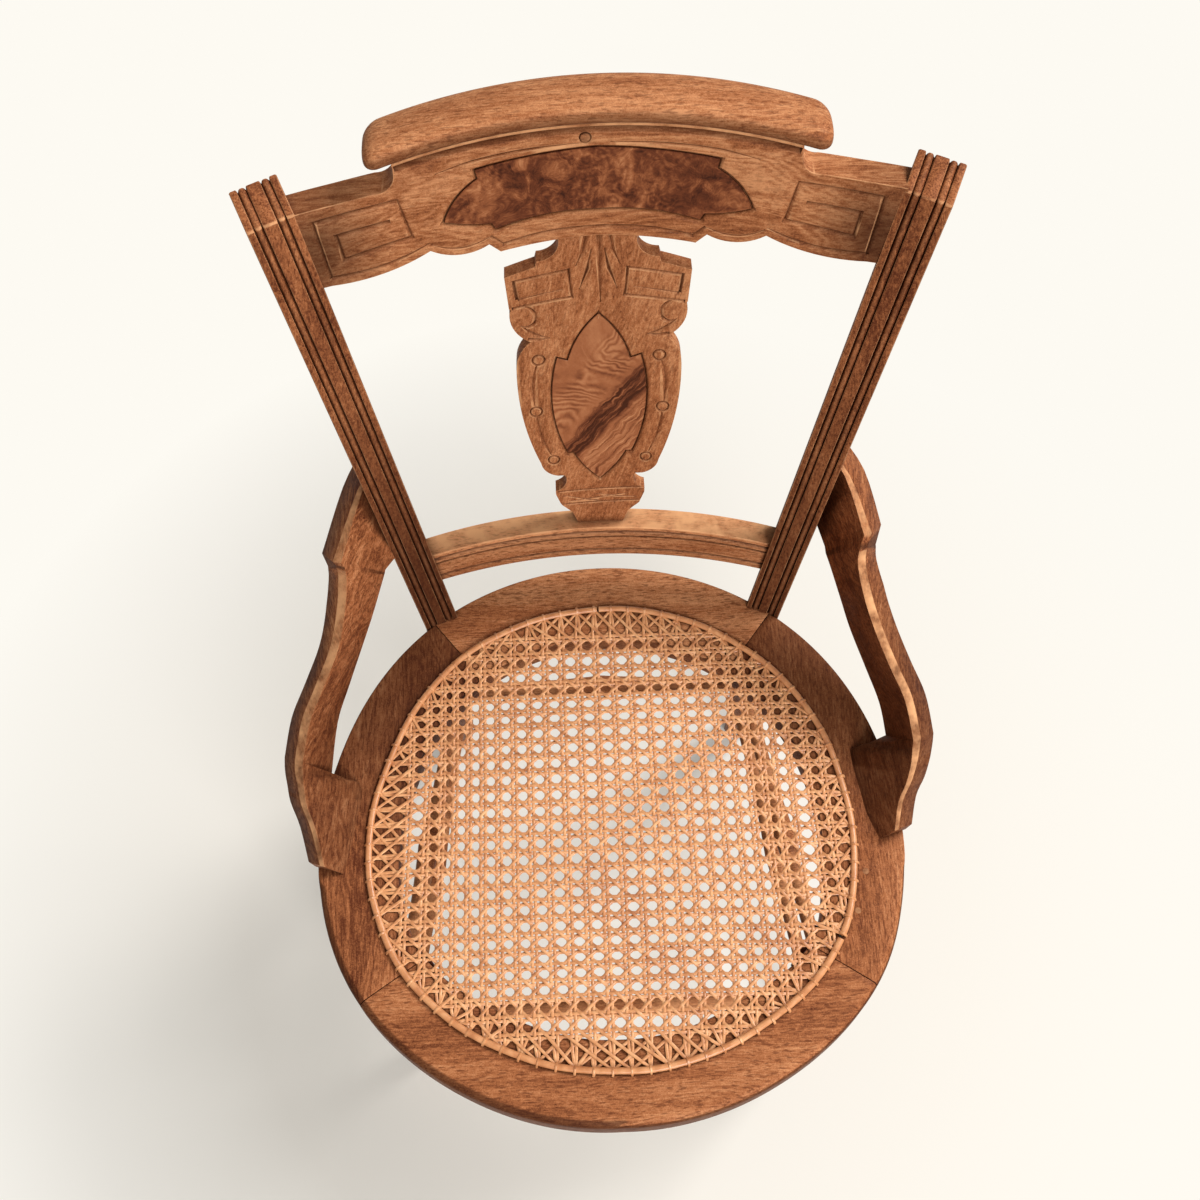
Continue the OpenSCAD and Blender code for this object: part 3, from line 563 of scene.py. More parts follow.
def burl(name, shift=(0, 0, 0), streak=None):
    """Burl veneer: swirls and little eyes, or plainer wood with a dark slanting streak between two places."""
    f = Finish(name)
    at = f.mapped(shift=shift)
    warped = pushed(f, at, 20, 0.07)
    cloud = f.noise(warped, 38, 4, 0.6, 0.8)["Fac"]
    lines = f.noise(pushed(f, at, 26, 0.03), 16, 1, 0.4)["Fac"]
    rippled = f.math("SINE", f.times(lines, 150))
    fine = f.noise(warped, 620, 2, 0.7)["Fac"]
    tone = f.math("MULTIPLY_ADD", cloud, 1.0, f.times(fine, 0.34))
    if streak is None:
        where = f.between(f.noise(at, 24, 2)["Fac"], 0.42, 0.60)
        spot = f.node("ShaderNodeTexVoronoi", {"feature": "F1"}, Vector=pushed(f, at, 90, 0.006), Scale=120.0,
                      Randomness=1.0).outputs["Distance"]
        eye = f.times(f.math("COSINE", f.times(spot, 13)), where)
        tone = f.math("MULTIPLY_ADD", eye, 0.055, f.math("MULTIPLY_ADD", rippled, 0.035, tone))
        tone = f.math("SUBTRACT", tone, 0.24)
        colour = f.ramp(tone, [(0.20, linear(58, 27, 16)), (0.38, linear(106, 56, 34)), (0.54, linear(152, 91, 57)),
                               (0.74, linear(204, 140, 96))])
    else:
        (x0, z0), (x1, z1) = streak
        long = hypot(x1 - x0, z1 - z0)
        ux, uz = (x1 - x0) / long, (z1 - z0) / long
        slanted = pushed(f, pushed(f, at, 30, 0.016), 95, 0.006)

        def measured(x, z):
            """How far a place lies from the start of the streak, in the direction of (x, z)."""
            return f.math("SUBTRACT", f.vector("DOT_PRODUCT", slanted, (x, 0, z)), x * x0 + z * z0)

        up_left, onward = measured(-uz, ux), measured(ux, uz)
        layered = f.node("ShaderNodeCombineXYZ", None, X=up_left, Y=f.times(onward, 0.06)).outputs[0]
        threads = f.noise(layered, 420, 3, 0.65)["Fac"]
        near = f.between(f.math("ABSOLUTE", f.math("ADD", up_left, 0.001)), 0.011, 0.006)
        below = f.between(up_left, -0.004, -0.016)
        swirl = f.times(f.between(up_left, 0.010, 0.018), f.between(up_left, 0.044, 0.036))
        tone = f.math("SUBTRACT", f.times(tone, 0.42), f.times(near, f.math("MULTIPLY_ADD", threads, 1.7, -0.58)))
        tone = f.math("MULTIPLY_ADD", f.times(below, f.math("SUBTRACT", threads, 0.5)), 1.3, tone)
        tone = f.math("MULTIPLY_ADD", f.times(swirl, rippled), 0.11, tone)
        tone = f.math("ADD", tone, 0.27)
        colour = f.ramp(tone, [(0.18, linear(70, 36, 22)), (0.36, linear(112, 62, 40)), (0.54, linear(162, 100, 65)),
                               (0.80, linear(204, 142, 99))])
    # Painted shade in corners and round the veneer's edge
    colour = f.mix(f.between(f.nooks(0.006), 0.80, 0.3, 0.0, 0.6), colour, PAINTED_SHADE)
    f.soften_shine(0.3, 1.25)
    return f.done(colour, f.between(cloud, 0.2, 0.8, 0.44, 0.32), fine, 0.10, 0.0001)


def cane(name, binder=False):
    """Split rattan with its glossy skin up, a little stained here and there."""
    f = Finish(name)
    stain = f.noise(f.mapped(shift=(0.31, 0.12, 0)), 13, 4, 0.6, 0.5)["Fac"]
    each = f.noise(f.mapped(shift=(0.7, 0.2, 0)), 150, 2, 0.5)["Fac"]
    fine = f.noise(f.mapped(), 1400, 2, 0.6)["Fac"]
    tone = f.math("ADD", f.times(each, 0.75), f.times(fine, 0.25))
    colour = f.ramp(tone, [(0.28, linear(172, 106, 62)), (0.5, linear(214, 149, 98)), (0.72, linear(238, 182, 130))])
    colour = f.mix(f.between(stain, 0.56, 0.72, 0.0, 0.5), colour, linear(168, 98, 58))
    if binder:
        colour = f.mix(0.4, colour, linear(196, 126, 78))
    # Painted shade where the strands cross and in the corners between them
    colour = f.mix(f.between(f.nooks(0.004), 0.8, 0.15, 0.0, 0.75), colour, linear(110, 58, 32))
    return f.done(colour, f.between(each, 0.3, 0.7, 0.30, 0.44), fine, 0.2, 0.0001, coat=0.1)


def plain_steel(name):
    f = Finish(name)
    scuff = f.noise(f.mapped(size=(1, 1, 0.1)), 800, 3)["Fac"]
    f.shader.inputs["Metallic"].default_value = 1.0
    colour = f.ramp(scuff, [(0.3, linear(120, 115, 108)), (0.7, linear(176, 172, 165))])
    return f.done(colour, f.between(scuff, 0.2, 0.8, 0.3, 0.5), scuff, 0.2, 0.0001)


# The spots given to the walnuts get painted shade: where the crest meets the posts, and by the feet of the arms and
# posts on the seat
rail_cross = walnut("walnut grain across", shift=(0.2, 0.13, 0.31))
# The back segment is painted lighter than the front one, as light where the lamps fall off towards the back
rail_cross_back = walnut("walnut grain across, back segment", shift=(0.5, 0.33, 0.11), depth=-0.11)
rail_fore_left = walnut("walnut grain fore and aft, left", (0, 0, QUARTER), (0.9, 0.2, 0.5), depth=0.09, lines=0.06,
                        painted_shade_spots=[((-165, 120, 0), 0.16, 0.6)])
rail_fore_right = walnut("walnut grain fore and aft, right", (0, 0, QUARTER), (0.3, 0.7, 0.2), depth=0.02,
                         painted_shade_spots=[((165, 120, 0), 0.14, 0.6)])
crest_wood = walnut("walnut of the crest", (RAKE + 0.02, 0.03, 0), (0.1, 0.5, 0.77), depth=-0.10, pores=0.45, wear_and_painted_light=0.9,
                    lines=0.08, painted_shade_spots=[((-178, 254, 362), 0.055, 0.75), ((178, 254, 362), 0.055, 0.8)])
cap_wood = walnut("walnut of the cap", shift=(0.6, 0.1, 0.4), depth=-0.08, pores=0.8, wear_and_painted_light=1.0, lines=0.05)
splat_wood = walnut("walnut of the splat", (0, QUARTER - 0.2, 0), (0.25, 0.4, 0.6), depth=-0.06, figure=0.6, pores=0.6,
                    wear_and_painted_light=0.9, lines=0.05)
lower_rail_wood = walnut("walnut of the lower rail", shift=(0.8, 0.9, 0.3), depth=-0.19, wear_and_painted_light=1.25)
post_wood_left = walnut("walnut of the left post", (0, QUARTER - 0.17, 0), (0.2, 0.2, 0.1), depth=0.09, figure=0.5,
                        wear_and_painted_light=0.8, painted_shade_spots=[((-128, 172, 0), 0.30, 0.75)])
post_wood_right = walnut("walnut of the right post", (0, QUARTER + 0.17, 0), (0.4, 0.6, 0.5), depth=0.09, figure=0.5,
                         wear_and_painted_light=0.8, painted_shade_spots=[((128, 172, 0), 0.30, 0.6)])
arm_wood_left = walnut("walnut of the left arm", (0, 0.5, -QUARTER), (0.35, 0.15, 0.3), depth=0.05, wear_and_painted_light=1.0,
                       lines=0.09, painted_shade_spots=[((-192, 20, 0), 0.15, 0.5)])
# The right arm is painted darker than the left one, as shade on its inner face, which is turned from the light
arm_wood_right = walnut("walnut of the right arm", (0, 0.5, QUARTER), (0.15, 0.85, 0.6), depth=0.10, wear_and_painted_light=1.0,
                        lines=0.06, painted_shade_spots=[((180, 60, 20), 0.17, 0.65)])
leg_wood = walnut("walnut of the legs", (0, QUARTER, 0), (0.55, 0.35, 0.9), depth=0.04, wear_and_painted_light=0.4)
stretcher_wood = walnut("walnut of the stretchers", shift=(0.45, 0.65, 0.2), depth=0.04, wear_and_painted_light=0.3)
plug_wood = walnut("dark plug wood", shift=(0.2, 0.1, 0.2), depth=0.22)
crest_burl = burl("burl of the crest", shift=(0.43, 0.2, 0.12))
splat_burl = burl("burl of the splat", streak=((-0.024, 0.595), (0.033, 0.669)))
cane_strand = cane("woven cane")
cane_band = cane("binder cane", binder=True)
screw_steel = plain_steel("screw steel")


# ---------------------------------------------------------------- the seat frame

FULL_ROUND, LEAST_ROUND = 7.0, 1.3
ROUND_DROP = FULL_ROUND * 0.8


def ring_segment(a0, a1):
    """A sector of the frame from a0 to a1 degrees, with the rounding of its upper outer edge and marks that paint shade
    on its outer side.
    """
    quarter_turn = [radians(t) for t in range(0, 91, 15)]
    profile = [(OPENING_R, -SEAT_T + 1), (OPENING_R + 1, -SEAT_T), (SEAT_R - 2, -SEAT_T), (SEAT_R - 0.6, -SEAT_T + 0.6),
               (SEAT_R, -SEAT_T + 2)]
    profile += [(SEAT_R - FULL_ROUND * (1 - cos(t)), -ROUND_DROP * (1 - sin(t))) for t in quarter_turn]
    profile += [(OPENING_R + 1.2, 0), (OPENING_R + 0.4, -0.35), (OPENING_R, -1.2)]
    bm = swept(profile, a0, a1, max(8, round((a1 - a0) / 1.25)))
    for v in bm.verts:
        r = hypot(v.co.x, v.co.y)
        if r > SEAT_R - FULL_ROUND - 0.1 and v.co.z > -ROUND_DROP - 0.1:
            k = rounding(degrees(atan2(v.co.y, v.co.x))) / FULL_ROUND
            new_r = SEAT_R + (r - SEAT_R) * k
            v.co = Vector((v.co.x * new_r / r, v.co.y * new_r / r, v.co.z * k))
    close_holes(bm)
    outward(bm)
    ends = [f for f in bm.faces if len(f.verts) > 8]
    layer = bm.verts.layers.float.new("wear_and_painted_light")
    for v in bm.verts:
        if hypot(v.co.x, v.co.y) > SEAT_R - 6:
            # Painted shade on the outer side below the rounding; on the left side from the front to just behind the
            # middle, which is turned from the light, it starts higher and darkens the top of the rim a little too
            dark_below, above_it = (-0.6, -0.6) if v.co.x < 0 and v.co.y < 40 else (-2.5, 0.1)
            v[layer] = -1.2 if v.co.z < dark_below else above_it
    bevelled(bm, [e for e in bm.edges if any(f in ends for f in e.link_faces)], 0.45, 2)
    return bm


def settle(bm, opening=False):
    """Brings a seat piece to the seat's true outline. The opening follows the corners more than the rim does."""
    for v in bm.verts:
        r = hypot(v.co.x, v.co.y)
        x, y = settled(v.co.x, v.co.y)
        if opening and r < OPENING_R + 2:
            more = 1 + max(0.0, 1.5 * swell(x, y) + 1.5) / r
            x, y = x * more, y * more
        v.co = Vector((x, y, v.co.z))
    return bm


def hole_angle(i):
    return radians((i + 0.5) * 360 / HOLES - 90)


def caning_holes(bm):
    """The segment with all the caning holes that cross it drilled through."""
    cutters = []
    for i in range(HOLES):
        at = Matrix.Translation((*polar(HOLE_RING_R, hole_angle(i)), -SEAT_T / 2))
        drill = bmesh.new()
        bmesh.ops.create_cone(drill, cap_ends=True, segments=12, radius1=HOLE_R, radius2=HOLE_R, depth=60, matrix=at)
        cutters.append(drill)
    return carved(bm, cutters)


# Angles from straight right, in degrees: half the line of a joint, the joints, and where the rounding stops
JOINT_GAP = 0.07
FRONT_JOINT, BACK_JOINT, ROUND_STOP = -33.6, 52.4, -9.0


def rounding(a):
    """The radius of the seat's upper edge at an angle: round in front, square behind, with a short run between."""
    a = a if a > -90 else a + 360
    side = a if a < 90 else 180 - a
    t = min(1.0, max(0.0, (side - ROUND_STOP + 1.5) / 3.0))
    return FULL_ROUND + (LEAST_ROUND - FULL_ROUND) * t * t * (3 - 2 * t)


seat_centre = Matrix.Translation(on_seat(0, 0, 0))
for name, a0, a1, wood in (
        ("seat_front_rail", -180 - FRONT_JOINT, FRONT_JOINT, rail_cross),
        ("seat_right_rail", FRONT_JOINT, BACK_JOINT, rail_fore_right),
        ("seat_back_rail", BACK_JOINT, 180 - BACK_JOINT, rail_cross_back),
        ("seat_left_rail", 180 - BACK_JOINT, 180 - FRONT_JOINT, rail_fore_left)):
    segment = settle(caning_holes(ring_segment(a0 + JOINT_GAP, a1 - JOINT_GAP)), opening=True)
    finish_piece("frame_" + name, moved(segment, seat_centre), wood, [name])

PLUG_RING_R = 189.7
for name, a, nodes in (("plug_back", -12.2, ["seat_plugs"]), ("plug_front", -21.4, [])):
    plug = turned([(0, -8), (2.6, -8), (2.6, -0.3), (2.3, 0.1), (0, 0.25)], 24)
    at = Matrix.Translation(on_seat(*polar(PLUG_RING_R, radians(a)), 0))
    finish_piece(name, moved(plug, at), plug_wood, nodes)


# ---------------------------------------------------------------- the caning

chance = random.Random(7)
# The middles of the pairs of strands, drawn together towards the rim as hand caning is
half_columns = (6.7, 20.2, 33.5, 46.6, 59.4, 71.9, 84.0, 95.6, 106.7, 117.2, 127.0, 138.5, 152.2)
half_rows = (6.2, 18.5, 31.2, 43.8, 56.2, 68.4, 80.7, 92.3, 103.5, 115.2, 127.0, 140.2, 153.6)
columns = sorted([-x for x in half_columns] + list(half_columns) + [164.5])
rows = sorted([y + 2 for y in half_rows] + [2 - y for y in half_rows])
# Half the distance of the two strands of a pair, and how far a strand's ends go down into their holes
PAIR, END_Z = 1.6, -4.0


def near_hole(x, y):
    """The middle of the caning hole next to a point."""
    a = degrees(atan2(y, x)) + 90
    return polar(HOLE_RING_R, hole_angle(round(a / (360 / HOLES) - 0.5)))


def straight_strand(fixed, side, crossings, first):
    """A strand along the free way, woven over and under the pairs at the crossings. Gives (free, fixed, height)."""
    end = sqrt(max(0.0, HOLE_RING_R ** 2 - fixed * fixed)) - 0.5
    shift = side * PAIR
    up = 0.5 * first * side
    inside = [c for c in crossings if -end + 4 < c < end - 4]
    line = [(-end - 1.5, fixed, END_Z), (-end, fixed + shift * 0.2, 0.7)]
    if inside:
        line.append(((-end + inside[0]) / 2, fixed + shift * 0.8, 0.9))
    for i, c in enumerate(inside):
        line += [(c - PAIR, fixed + shift, 1.25 + up), (c, fixed + shift, 1.25), (c + PAIR, fixed + shift, 1.25 - up)]
        if i + 1 < len(inside):
            line.append(((c + inside[i + 1]) / 2, fixed + shift, 1.2))
    if inside:
        line.append(((end + inside[-1]) / 2, fixed + shift * 0.8, 0.9))
    return line + [(end, fixed + shift * 0.2, 0.7), (end + 1.5, fixed, END_Z)]


def hole_beyond(a, b):
    """The caning hole that the way from a to b leads to."""
    (x, y), dx, dy = b[:2], b[0] - a[0], b[1] - a[1]
    while hypot(x, y) < HOLE_RING_R:
        x, y = x + dx * 0.05, y + dy * 0.05
    return near_hole(x, y)


def slanting_strands(rising):
    """Strands that cross the pairs halfway between their crossings, over the one way and under the other."""
    mids_x = [(a + b) / 2 for a, b in zip(columns, columns[1:])]
    mids_y = [(a + b) / 2 for a, b in zip(rows, rows[1:])]
    ys = rows if rising else list(reversed(rows))
    my = mids_y if rising else list(reversed(mids_y))
    sway, end_z = (0.85, 1.2) if rising else (-0.85, 1.6)
    middle_z = 1.3
    out = []
    for k in range(-len(rows) - 2, len(columns) + 2):
        line = []
        for i in range(len(columns)):
            j = i - k
            if 0 <= j < len(my):
                line.append((columns[i], my[j], 1))
            if i < len(mids_x) and 0 <= j + 1 < len(ys):
                line.append((mids_x[i], ys[j + 1], -1))
        line = [p for p in line if hypot(p[0], p[1]) < HOLE_RING_R - 7]
        if len(line) < 2:
            continue
        start, end = hole_beyond(line[1], line[0]), hole_beyond(line[-2], line[-1])
        way = [(start[0] * 1.01, start[1] * 1.01, END_Z), (*start, end_z)]
        for (x0, y0, s0), (x1, y1, _) in zip(line, line[1:]):
            for t in (0, 0.25, 0.5, 0.75):
                way.append((x0 + (x1 - x0) * t, y0 + (y1 - y0) * t, middle_z + sway * s0 * cos(pi * t)))
        x, y, s = line[-1]
        out.append(way + [(x, y, middle_z + sway * s), (*end, end_z), (end[0] * 1.01, end[1] * 1.01, END_Z)])
    return out


# A strand's section, flat below and rounded above, in widths of the strand
STRAND_SECTION = [(-0.5, 0.0), (-0.40, 0.13), (-0.2, 0.2), (0.0, 0.22), (0.2, 0.2), (0.40, 0.13), (0.5, 0.0),
                  (0.38, -0.10), (-0.38, -0.10)]


def woven(name, lines):
    """Strands of split cane along the lines, each a little thicker or thinner and a little out of place."""
    section = bpy.data.curves.new("cane section", "CURVE")
    section.dimensions = "2D"
    spline = section.splines.new("POLY")
    spline.points.add(len(STRAND_SECTION) - 1)
    for point, (x, y) in zip(spline.points, STRAND_SECTION):
        point.co = (x * STRAND_WIDTH * MM, y * STRAND_WIDTH * MM, 0, 1)
    spline.use_cyclic_u = True
    section_object = linked("cane section", section)
    curve = bpy.data.curves.new(name, "CURVE")
    curve.dimensions = "3D"
    curve.bevel_mode = "OBJECT"
    curve.bevel_object = section_object
    curve.twist_mode = "Z_UP"
    for line in lines:
        strand = curve.splines.new("POLY")
        strand.points.add(len(line) - 1)
        thick = chance.uniform(0.92, 1.08)
        drift = chance.uniform(-0.18, 0.18)
        for point, (x, y, z) in zip(strand.points, line):
            at = on_seat(*settled(x + drift, y + drift), z) * MM
            point.co = (at.x, at.y, at.z, 1)
            point.radius = thick
    holder = linked(name, curve)
    bm = evaluated(holder)
    bpy.data.objects.remove(holder)
    bpy.data.objects.remove(section_object)
    bmesh.ops.scale(bm, vec=(1 / MM, 1 / MM, 1 / MM), verts=bm.verts)
    return bm


strands_along = [[(c, f, h) for f, c, h in straight_strand(x, side, rows, 1)] for x in columns for side in (-1, 1)]
strands_across = [straight_strand(y, side, columns, -1) for y in rows for side in (-1, 1)]
for name, lines, nodes in (("fore_and_aft", strands_along, ["cane_seat"]), ("across", strands_across, []),
                           ("rising", slanting_strands(True), []), ("falling", slanting_strands(False), [])):
    finish_piece("cane_" + name, woven(name, lines), cane_strand, nodes)


# ---------------------------------------------------------------- the binder

def binder_arc(a0, a1):
    """The flat band over the holes from a0 to a1 degrees, which rises between the ties and wanders a little."""
    w, h = 2.5, 1.8
    arched = [(w * cos(radians(t)), 0.2 + h * sin(radians(t))) for t in range(0, 181, 20)]
    profile = [(BINDER_R + r, CANE_TOP + z) for r, z in arched + [(-w + 0.3, -0.4), (w - 0.3, -0.4)]]
    bm = swept(profile, a0, a1, round((a1 - a0) / (360 / HOLES / 4)))
    for v in bm.verts:
        a = degrees(atan2(v.co.y, v.co.x)) + 90
        lift = 0.35 * abs((a / (360 / HOLES)) % 1 - 0.5) * 2 - 0.2
        r = hypot(v.co.x, v.co.y)
        out = 0.35 * sin(radians(a * 7)) + 0.25 * sin(radians(a * 17))
        v.co = Vector((v.co.x * (r + out) / r, v.co.y * (r + out) / r, v.co.z + (lift if v.co.z > CANE_TOP else 0)))
    close_holes(bm)
    return bm


# The way of a tie up over the binder, as (radius, height), and its section, as (across, up)
TIE_HOOP = [(177.4, 0.2), (177.9, 1.7), (179.1, 3.3), (BINDER_R, 4.05), (182.7, 3.4), (183.9, 1.7), (184.3, 0.1)]
TIE_SECTION = ((-1.0, -0.25), (-0.7, 0.32), (0.0, 0.45), (0.7, 0.32), (1.0, -0.25))
TIE_R = 181


def ties():
    """Short strands that cross over the binder at each hole."""
    parts = []
    for i in range(HOLES):
        a = hole_angle(i)
        lean = chance.uniform(-0.05, 0.05)
        width = chance.uniform(0.9, 1.15)
        rings = []
        for k, (r, z) in enumerate(TIE_HOOP):
            before, after = Vector(TIE_HOOP[max(k - 1, 0)]), Vector(TIE_HOOP[min(k + 1, len(TIE_HOOP) - 1)])
            d = (after - before).normalized()
            ring = []
            for q, t in TIE_SECTION:
                angle = a + (q * width + (r - TIE_R) * lean) / TIE_R
                ring.append((*polar(r - d.y * t, angle), z + d.x * t))
            rings.append(ring)
        parts.append(skin(rings))
    return joined(*parts)


# The band is in two lengths that meet behind and in front on the right
binder = joined(binder_arc(-28.2, 90.9), binder_arc(91.4, 330.9))
finish_piece("binder", moved(settle(binder), seat_centre), cane_band, ["cane_binder"])
finish_piece("binder_ties", moved(settle(ties()), seat_centre), cane_strand, [])


# ---------------------------------------------------------------- the posts and rear legs

POST_FOOT = Vector((127.54, 172.34, 0))
POST_LEAN = Vector((tan(radians(9.72)), tan(radians(11.55)), 1))
POST_TURN = radians(20.7)
POST_T = 26.0
POST_W0, POST_W1 = 24.6, 28.8
POST_RISE = 418
# The photographed posts are wider and longer than the solids' by so much, and their bevelled heads so long
POST_WIDER, POST_LONGER, HEAD_LEFT, HEAD_RIGHT = 1.8, 2, 23.8, 28.0
# The racking of the back lifts the head of one post by so much and lets the other down
POST_RACKED = RACKED * 250
post_dir = POST_LEAN.normalized()
post_len = POST_LEAN.length * POST_RISE + POST_LONGER
level_across = Vector((cos(POST_TURN), -sin(POST_TURN), 0))
across_post = (level_across - post_dir * level_across.dot(post_dir)).normalized()
into_post = post_dir.cross(across_post)
post_taper = atan((POST_W1 - POST_W0) / 2 / post_len)

# The rear leg: its middle line from the underside of the seat frame to the floor, and its width there
post_middle = POST_FOOT + Vector((sin(POST_TURN), cos(POST_TURN), 0)) * POST_T * 0.515
leg_top = post_middle + post_dir * (-SEAT_T / post_dir.z)
LEG_FLOOR_X, LEG_FLOOR_Y, LEG_FLOOR_W = 147.0, 249.0, 22.0


def post_section(width):
    """The front of a post, flat, reed, wide flat, reed, flat, from its inner edge as (across, into, mark). The marks
    wear the outer corners and groove rims bare and paint a highlight on them, and paint shade in the grooves.
    """
    h = width / 2
    reed, pitch, deep = 2.2, width * 0.245, 2.9
    pts = [(-h, 1.0, 0), (-h + 0.35, 0.25, 0.7), (-h + 1.1, 0.0, 0)]
    for c in (-pitch, pitch):
        pts += [(c - 3.6, 0.0, 0), (c - 3.1, 0.4, 0.8), (c - 2.6, deep, -1)]
        for angle in (-80, -50, -20, 20, 50, 80):
            t = radians(angle)
            pts.append((c + reed * sin(t), reed * (1 - cos(t)) + 0.15, 0.25 if abs(angle) < 30 else 0.0))
        pts += [(c + 2.6, deep, -1), (c + 3.1, 0.4, 0.8), (c + 3.6, 0.0, 0)]
    return pts + [(h - 1.1, 0.0, 0), (h - 0.35, 0.25, 0.7), (h, 1.0, 0)]


def post_point(x, y, t):
    return POST_FOOT + post_dir * t + across_post * x + into_post * y


def post_head(side):
    """The reeded post above the seat, whose top is cut to a long bevel, over which the reeds and grooves run on."""
    slope, edge = 1.9, POST_T - 0.4
    fold = post_len - (HEAD_RIGHT if side > 0 else HEAD_LEFT)
    stations = [(t, 0.0) for t in (-24, 0, 60, 120, 180, 240, 300, 360, fold - 1.2, fold - 0.4)]
    stations += [(fold, u) for u in (0.03, 0.07, 0.5, 0.93, 1.0)]
    rings, marks = [], []
    for t, u in stations:
        width = POST_W0 + (POST_W1 - POST_W0) * max(0, t) / post_len + POST_WIDER
        shift = post_dir * (side * POST_RACKED * max(0, t) / post_len) - across_post * (POST_WIDER / 2)
        front, back, mark = [], [], []
        # The fold of the bevel is marked worn and painted with a highlight
        at_fold = 0.8 if u in (0.0, 0.03) and t >= fold - 0.4 else 0.0
        for x, y, wear_and_painted_light in post_section(width):
            up = t + u * (edge - 1.7 * y - (0.5 if wear_and_painted_light > 0.5 else 0)) / slope
            deep = y + (edge - y) * u - (0.0 if u < 0.9 or u == 1 else 0.35)
            front.append(post_point(x, deep, up) + shift)
            back.append(post_point(x, POST_T - 0.4 * u, up) + shift)
            mark.append(max(wear_and_painted_light, at_fold) if wear_and_painted_light >= 0 else wear_and_painted_light)
        rings.append(front + back[::-1])
        marks.append(mark)
    return skin(rings, caps=(0,), wear_and_painted_light=marks)


def leg_middle(t):
    """A place on the middle line of the right rear leg, from its top (0) to the floor (1)."""
    return leg_top.x + (LEG_FLOOR_X - leg_top.x) * t ** 1.8, leg_top.y + (LEG_FLOOR_Y - leg_top.y) * t * t


def rear_leg():
    """The sabre leg that grows out of the post, square with blunted corners, from the seat frame to the floor."""
    rings = []
    steps, above, blunt = 24, 6.0, 2.0
    for i in range(-1, steps + 1):
        t = max(0.0, i / steps)
        c = Vector((*leg_middle(t), -SEAT_T - (SEAT_TOP - SEAT_T) * t))
        if i < 0:
            c += Vector((post_dir.x, post_dir.y, post_dir.z)) / post_dir.z * above
        w = (POST_W0 + (LEG_FLOOR_W - POST_W0) * t) / 2 - 0.2
        d = (POST_T + (LEG_FLOOR_W - POST_T) * t) / 2 - 0.2
        corners = ((-w, -d + blunt), (-w + blunt, -d), (w - blunt, -d), (w, -d + blunt),
                   (w, d - blunt), (w - blunt, d), (-w + blunt, d), (-w, d - blunt))
        rings.append([c + Vector((cos(POST_TURN) * x + sin(POST_TURN) * y,
                                  cos(POST_TURN) * y - sin(POST_TURN) * x, 0)) for x, y in corners])
    return skin(rings)


def on_side(bm, side):
    """Flips a piece made for the right side if it is the left one's, and brings it to the seat."""
    if side < 0:
        bmesh.ops.scale(bm, vec=(-1, 1, 1), verts=bm.verts)
    return moved(bm, seat_centre)


def post(side):
    """A post and the leg below it."""
    return on_side(joined(post_head(side), rear_leg()), side)


finish_piece("post_left", post(-1), post_wood_left, ["back_post_left"])
finish_piece("post_right", post(1), post_wood_right, ["back_post_right"])


def trim_to_posts(bm):
    """Cuts a piece of the back off at the inner faces of the posts."""
    corner = POST_FOOT - across_post * (POST_W0 / 2 - 0.6)
    normal = (across_post * cos(post_taper) + post_dir * sin(post_taper)).normalized()
    for side in (-1, 1):
        at, out = on_seat(*corner), Vector(normal)
        at.x, out.x = side * at.x, side * out.x
        sliced(bm, at, out, clear_outer=True)
    return bm


# ---------------------------------------------------------------- the crest

# Right halves of outlines, as (along the bow, up the rake)
crest_half = [(s, CREST_HOLLOW_W - arch(s)) for s in list(range(0, 121, 10)) + [122]]
crest_half += arc((122, 416), (135, 404.8), -4.3, 9) + [(160, 402.9), (196, 401)]
crest_half += [(196, 343)] + arc((168, 343.6), (104.7, 356), 5, 12) + arc((104, 355.6), (68, 355), 5.4, 12)
crest_half += [(61.1, 348.5)] + arc((60, 348.8), (0, 356), -1.1, 9)
panel_half = arc((0, 420.3), (74, 410.9), 1.4, 9) + arc((72.6, 404.2), (95, 375.7), 3.2, 9)
panel_half += arc((94.4, 375.2), (65.8, 370.3), 1.2, 5) + arc((63.5, 365.6), (0, 375.2), -3.2, 9)


def inset_line(points, by):
    """The closed line moved inwards by so much."""
    out = []
    n = len(points)
    for i in range(n):
        a, b, c = Vector(points[i - 1]), Vector(points[i]), Vector(points[(i + 1) % n])
        d0, d1 = (b - a).normalized(), (c - b).normalized()
        m = (Vector((d0.y, -d0.x)) + Vector((d1.y, -d1.x))).normalized()
        k = 1 / max(0.5, m.dot(Vector((d0.y, -d0.x))))
        out.append(tuple(b + m * by * k))
    return out


def both_sides(line, width, depth, v=0.0, **more):
    """The cutters of a groove and of its twin on the other side of the middle."""
    return [groove(points, width, depth, v, **more) for points in (line, flip_x(line))]


RECESS = 2.8


def panel_cuts(outline, v):
    """The recess of a veneer and the groove round it."""
    return [plank(outline, v - 1.0, v + RECESS), groove(outline, 2.2, 1.5, v, closed=True)]


def veneer_for(outline, v):
    """The veneer that fits such a recess, with a fine gap round it."""
    return soften(plank(inset_line(outline, 0.35), v + 0.9, v + RECESS), 0.35, 60, 1)


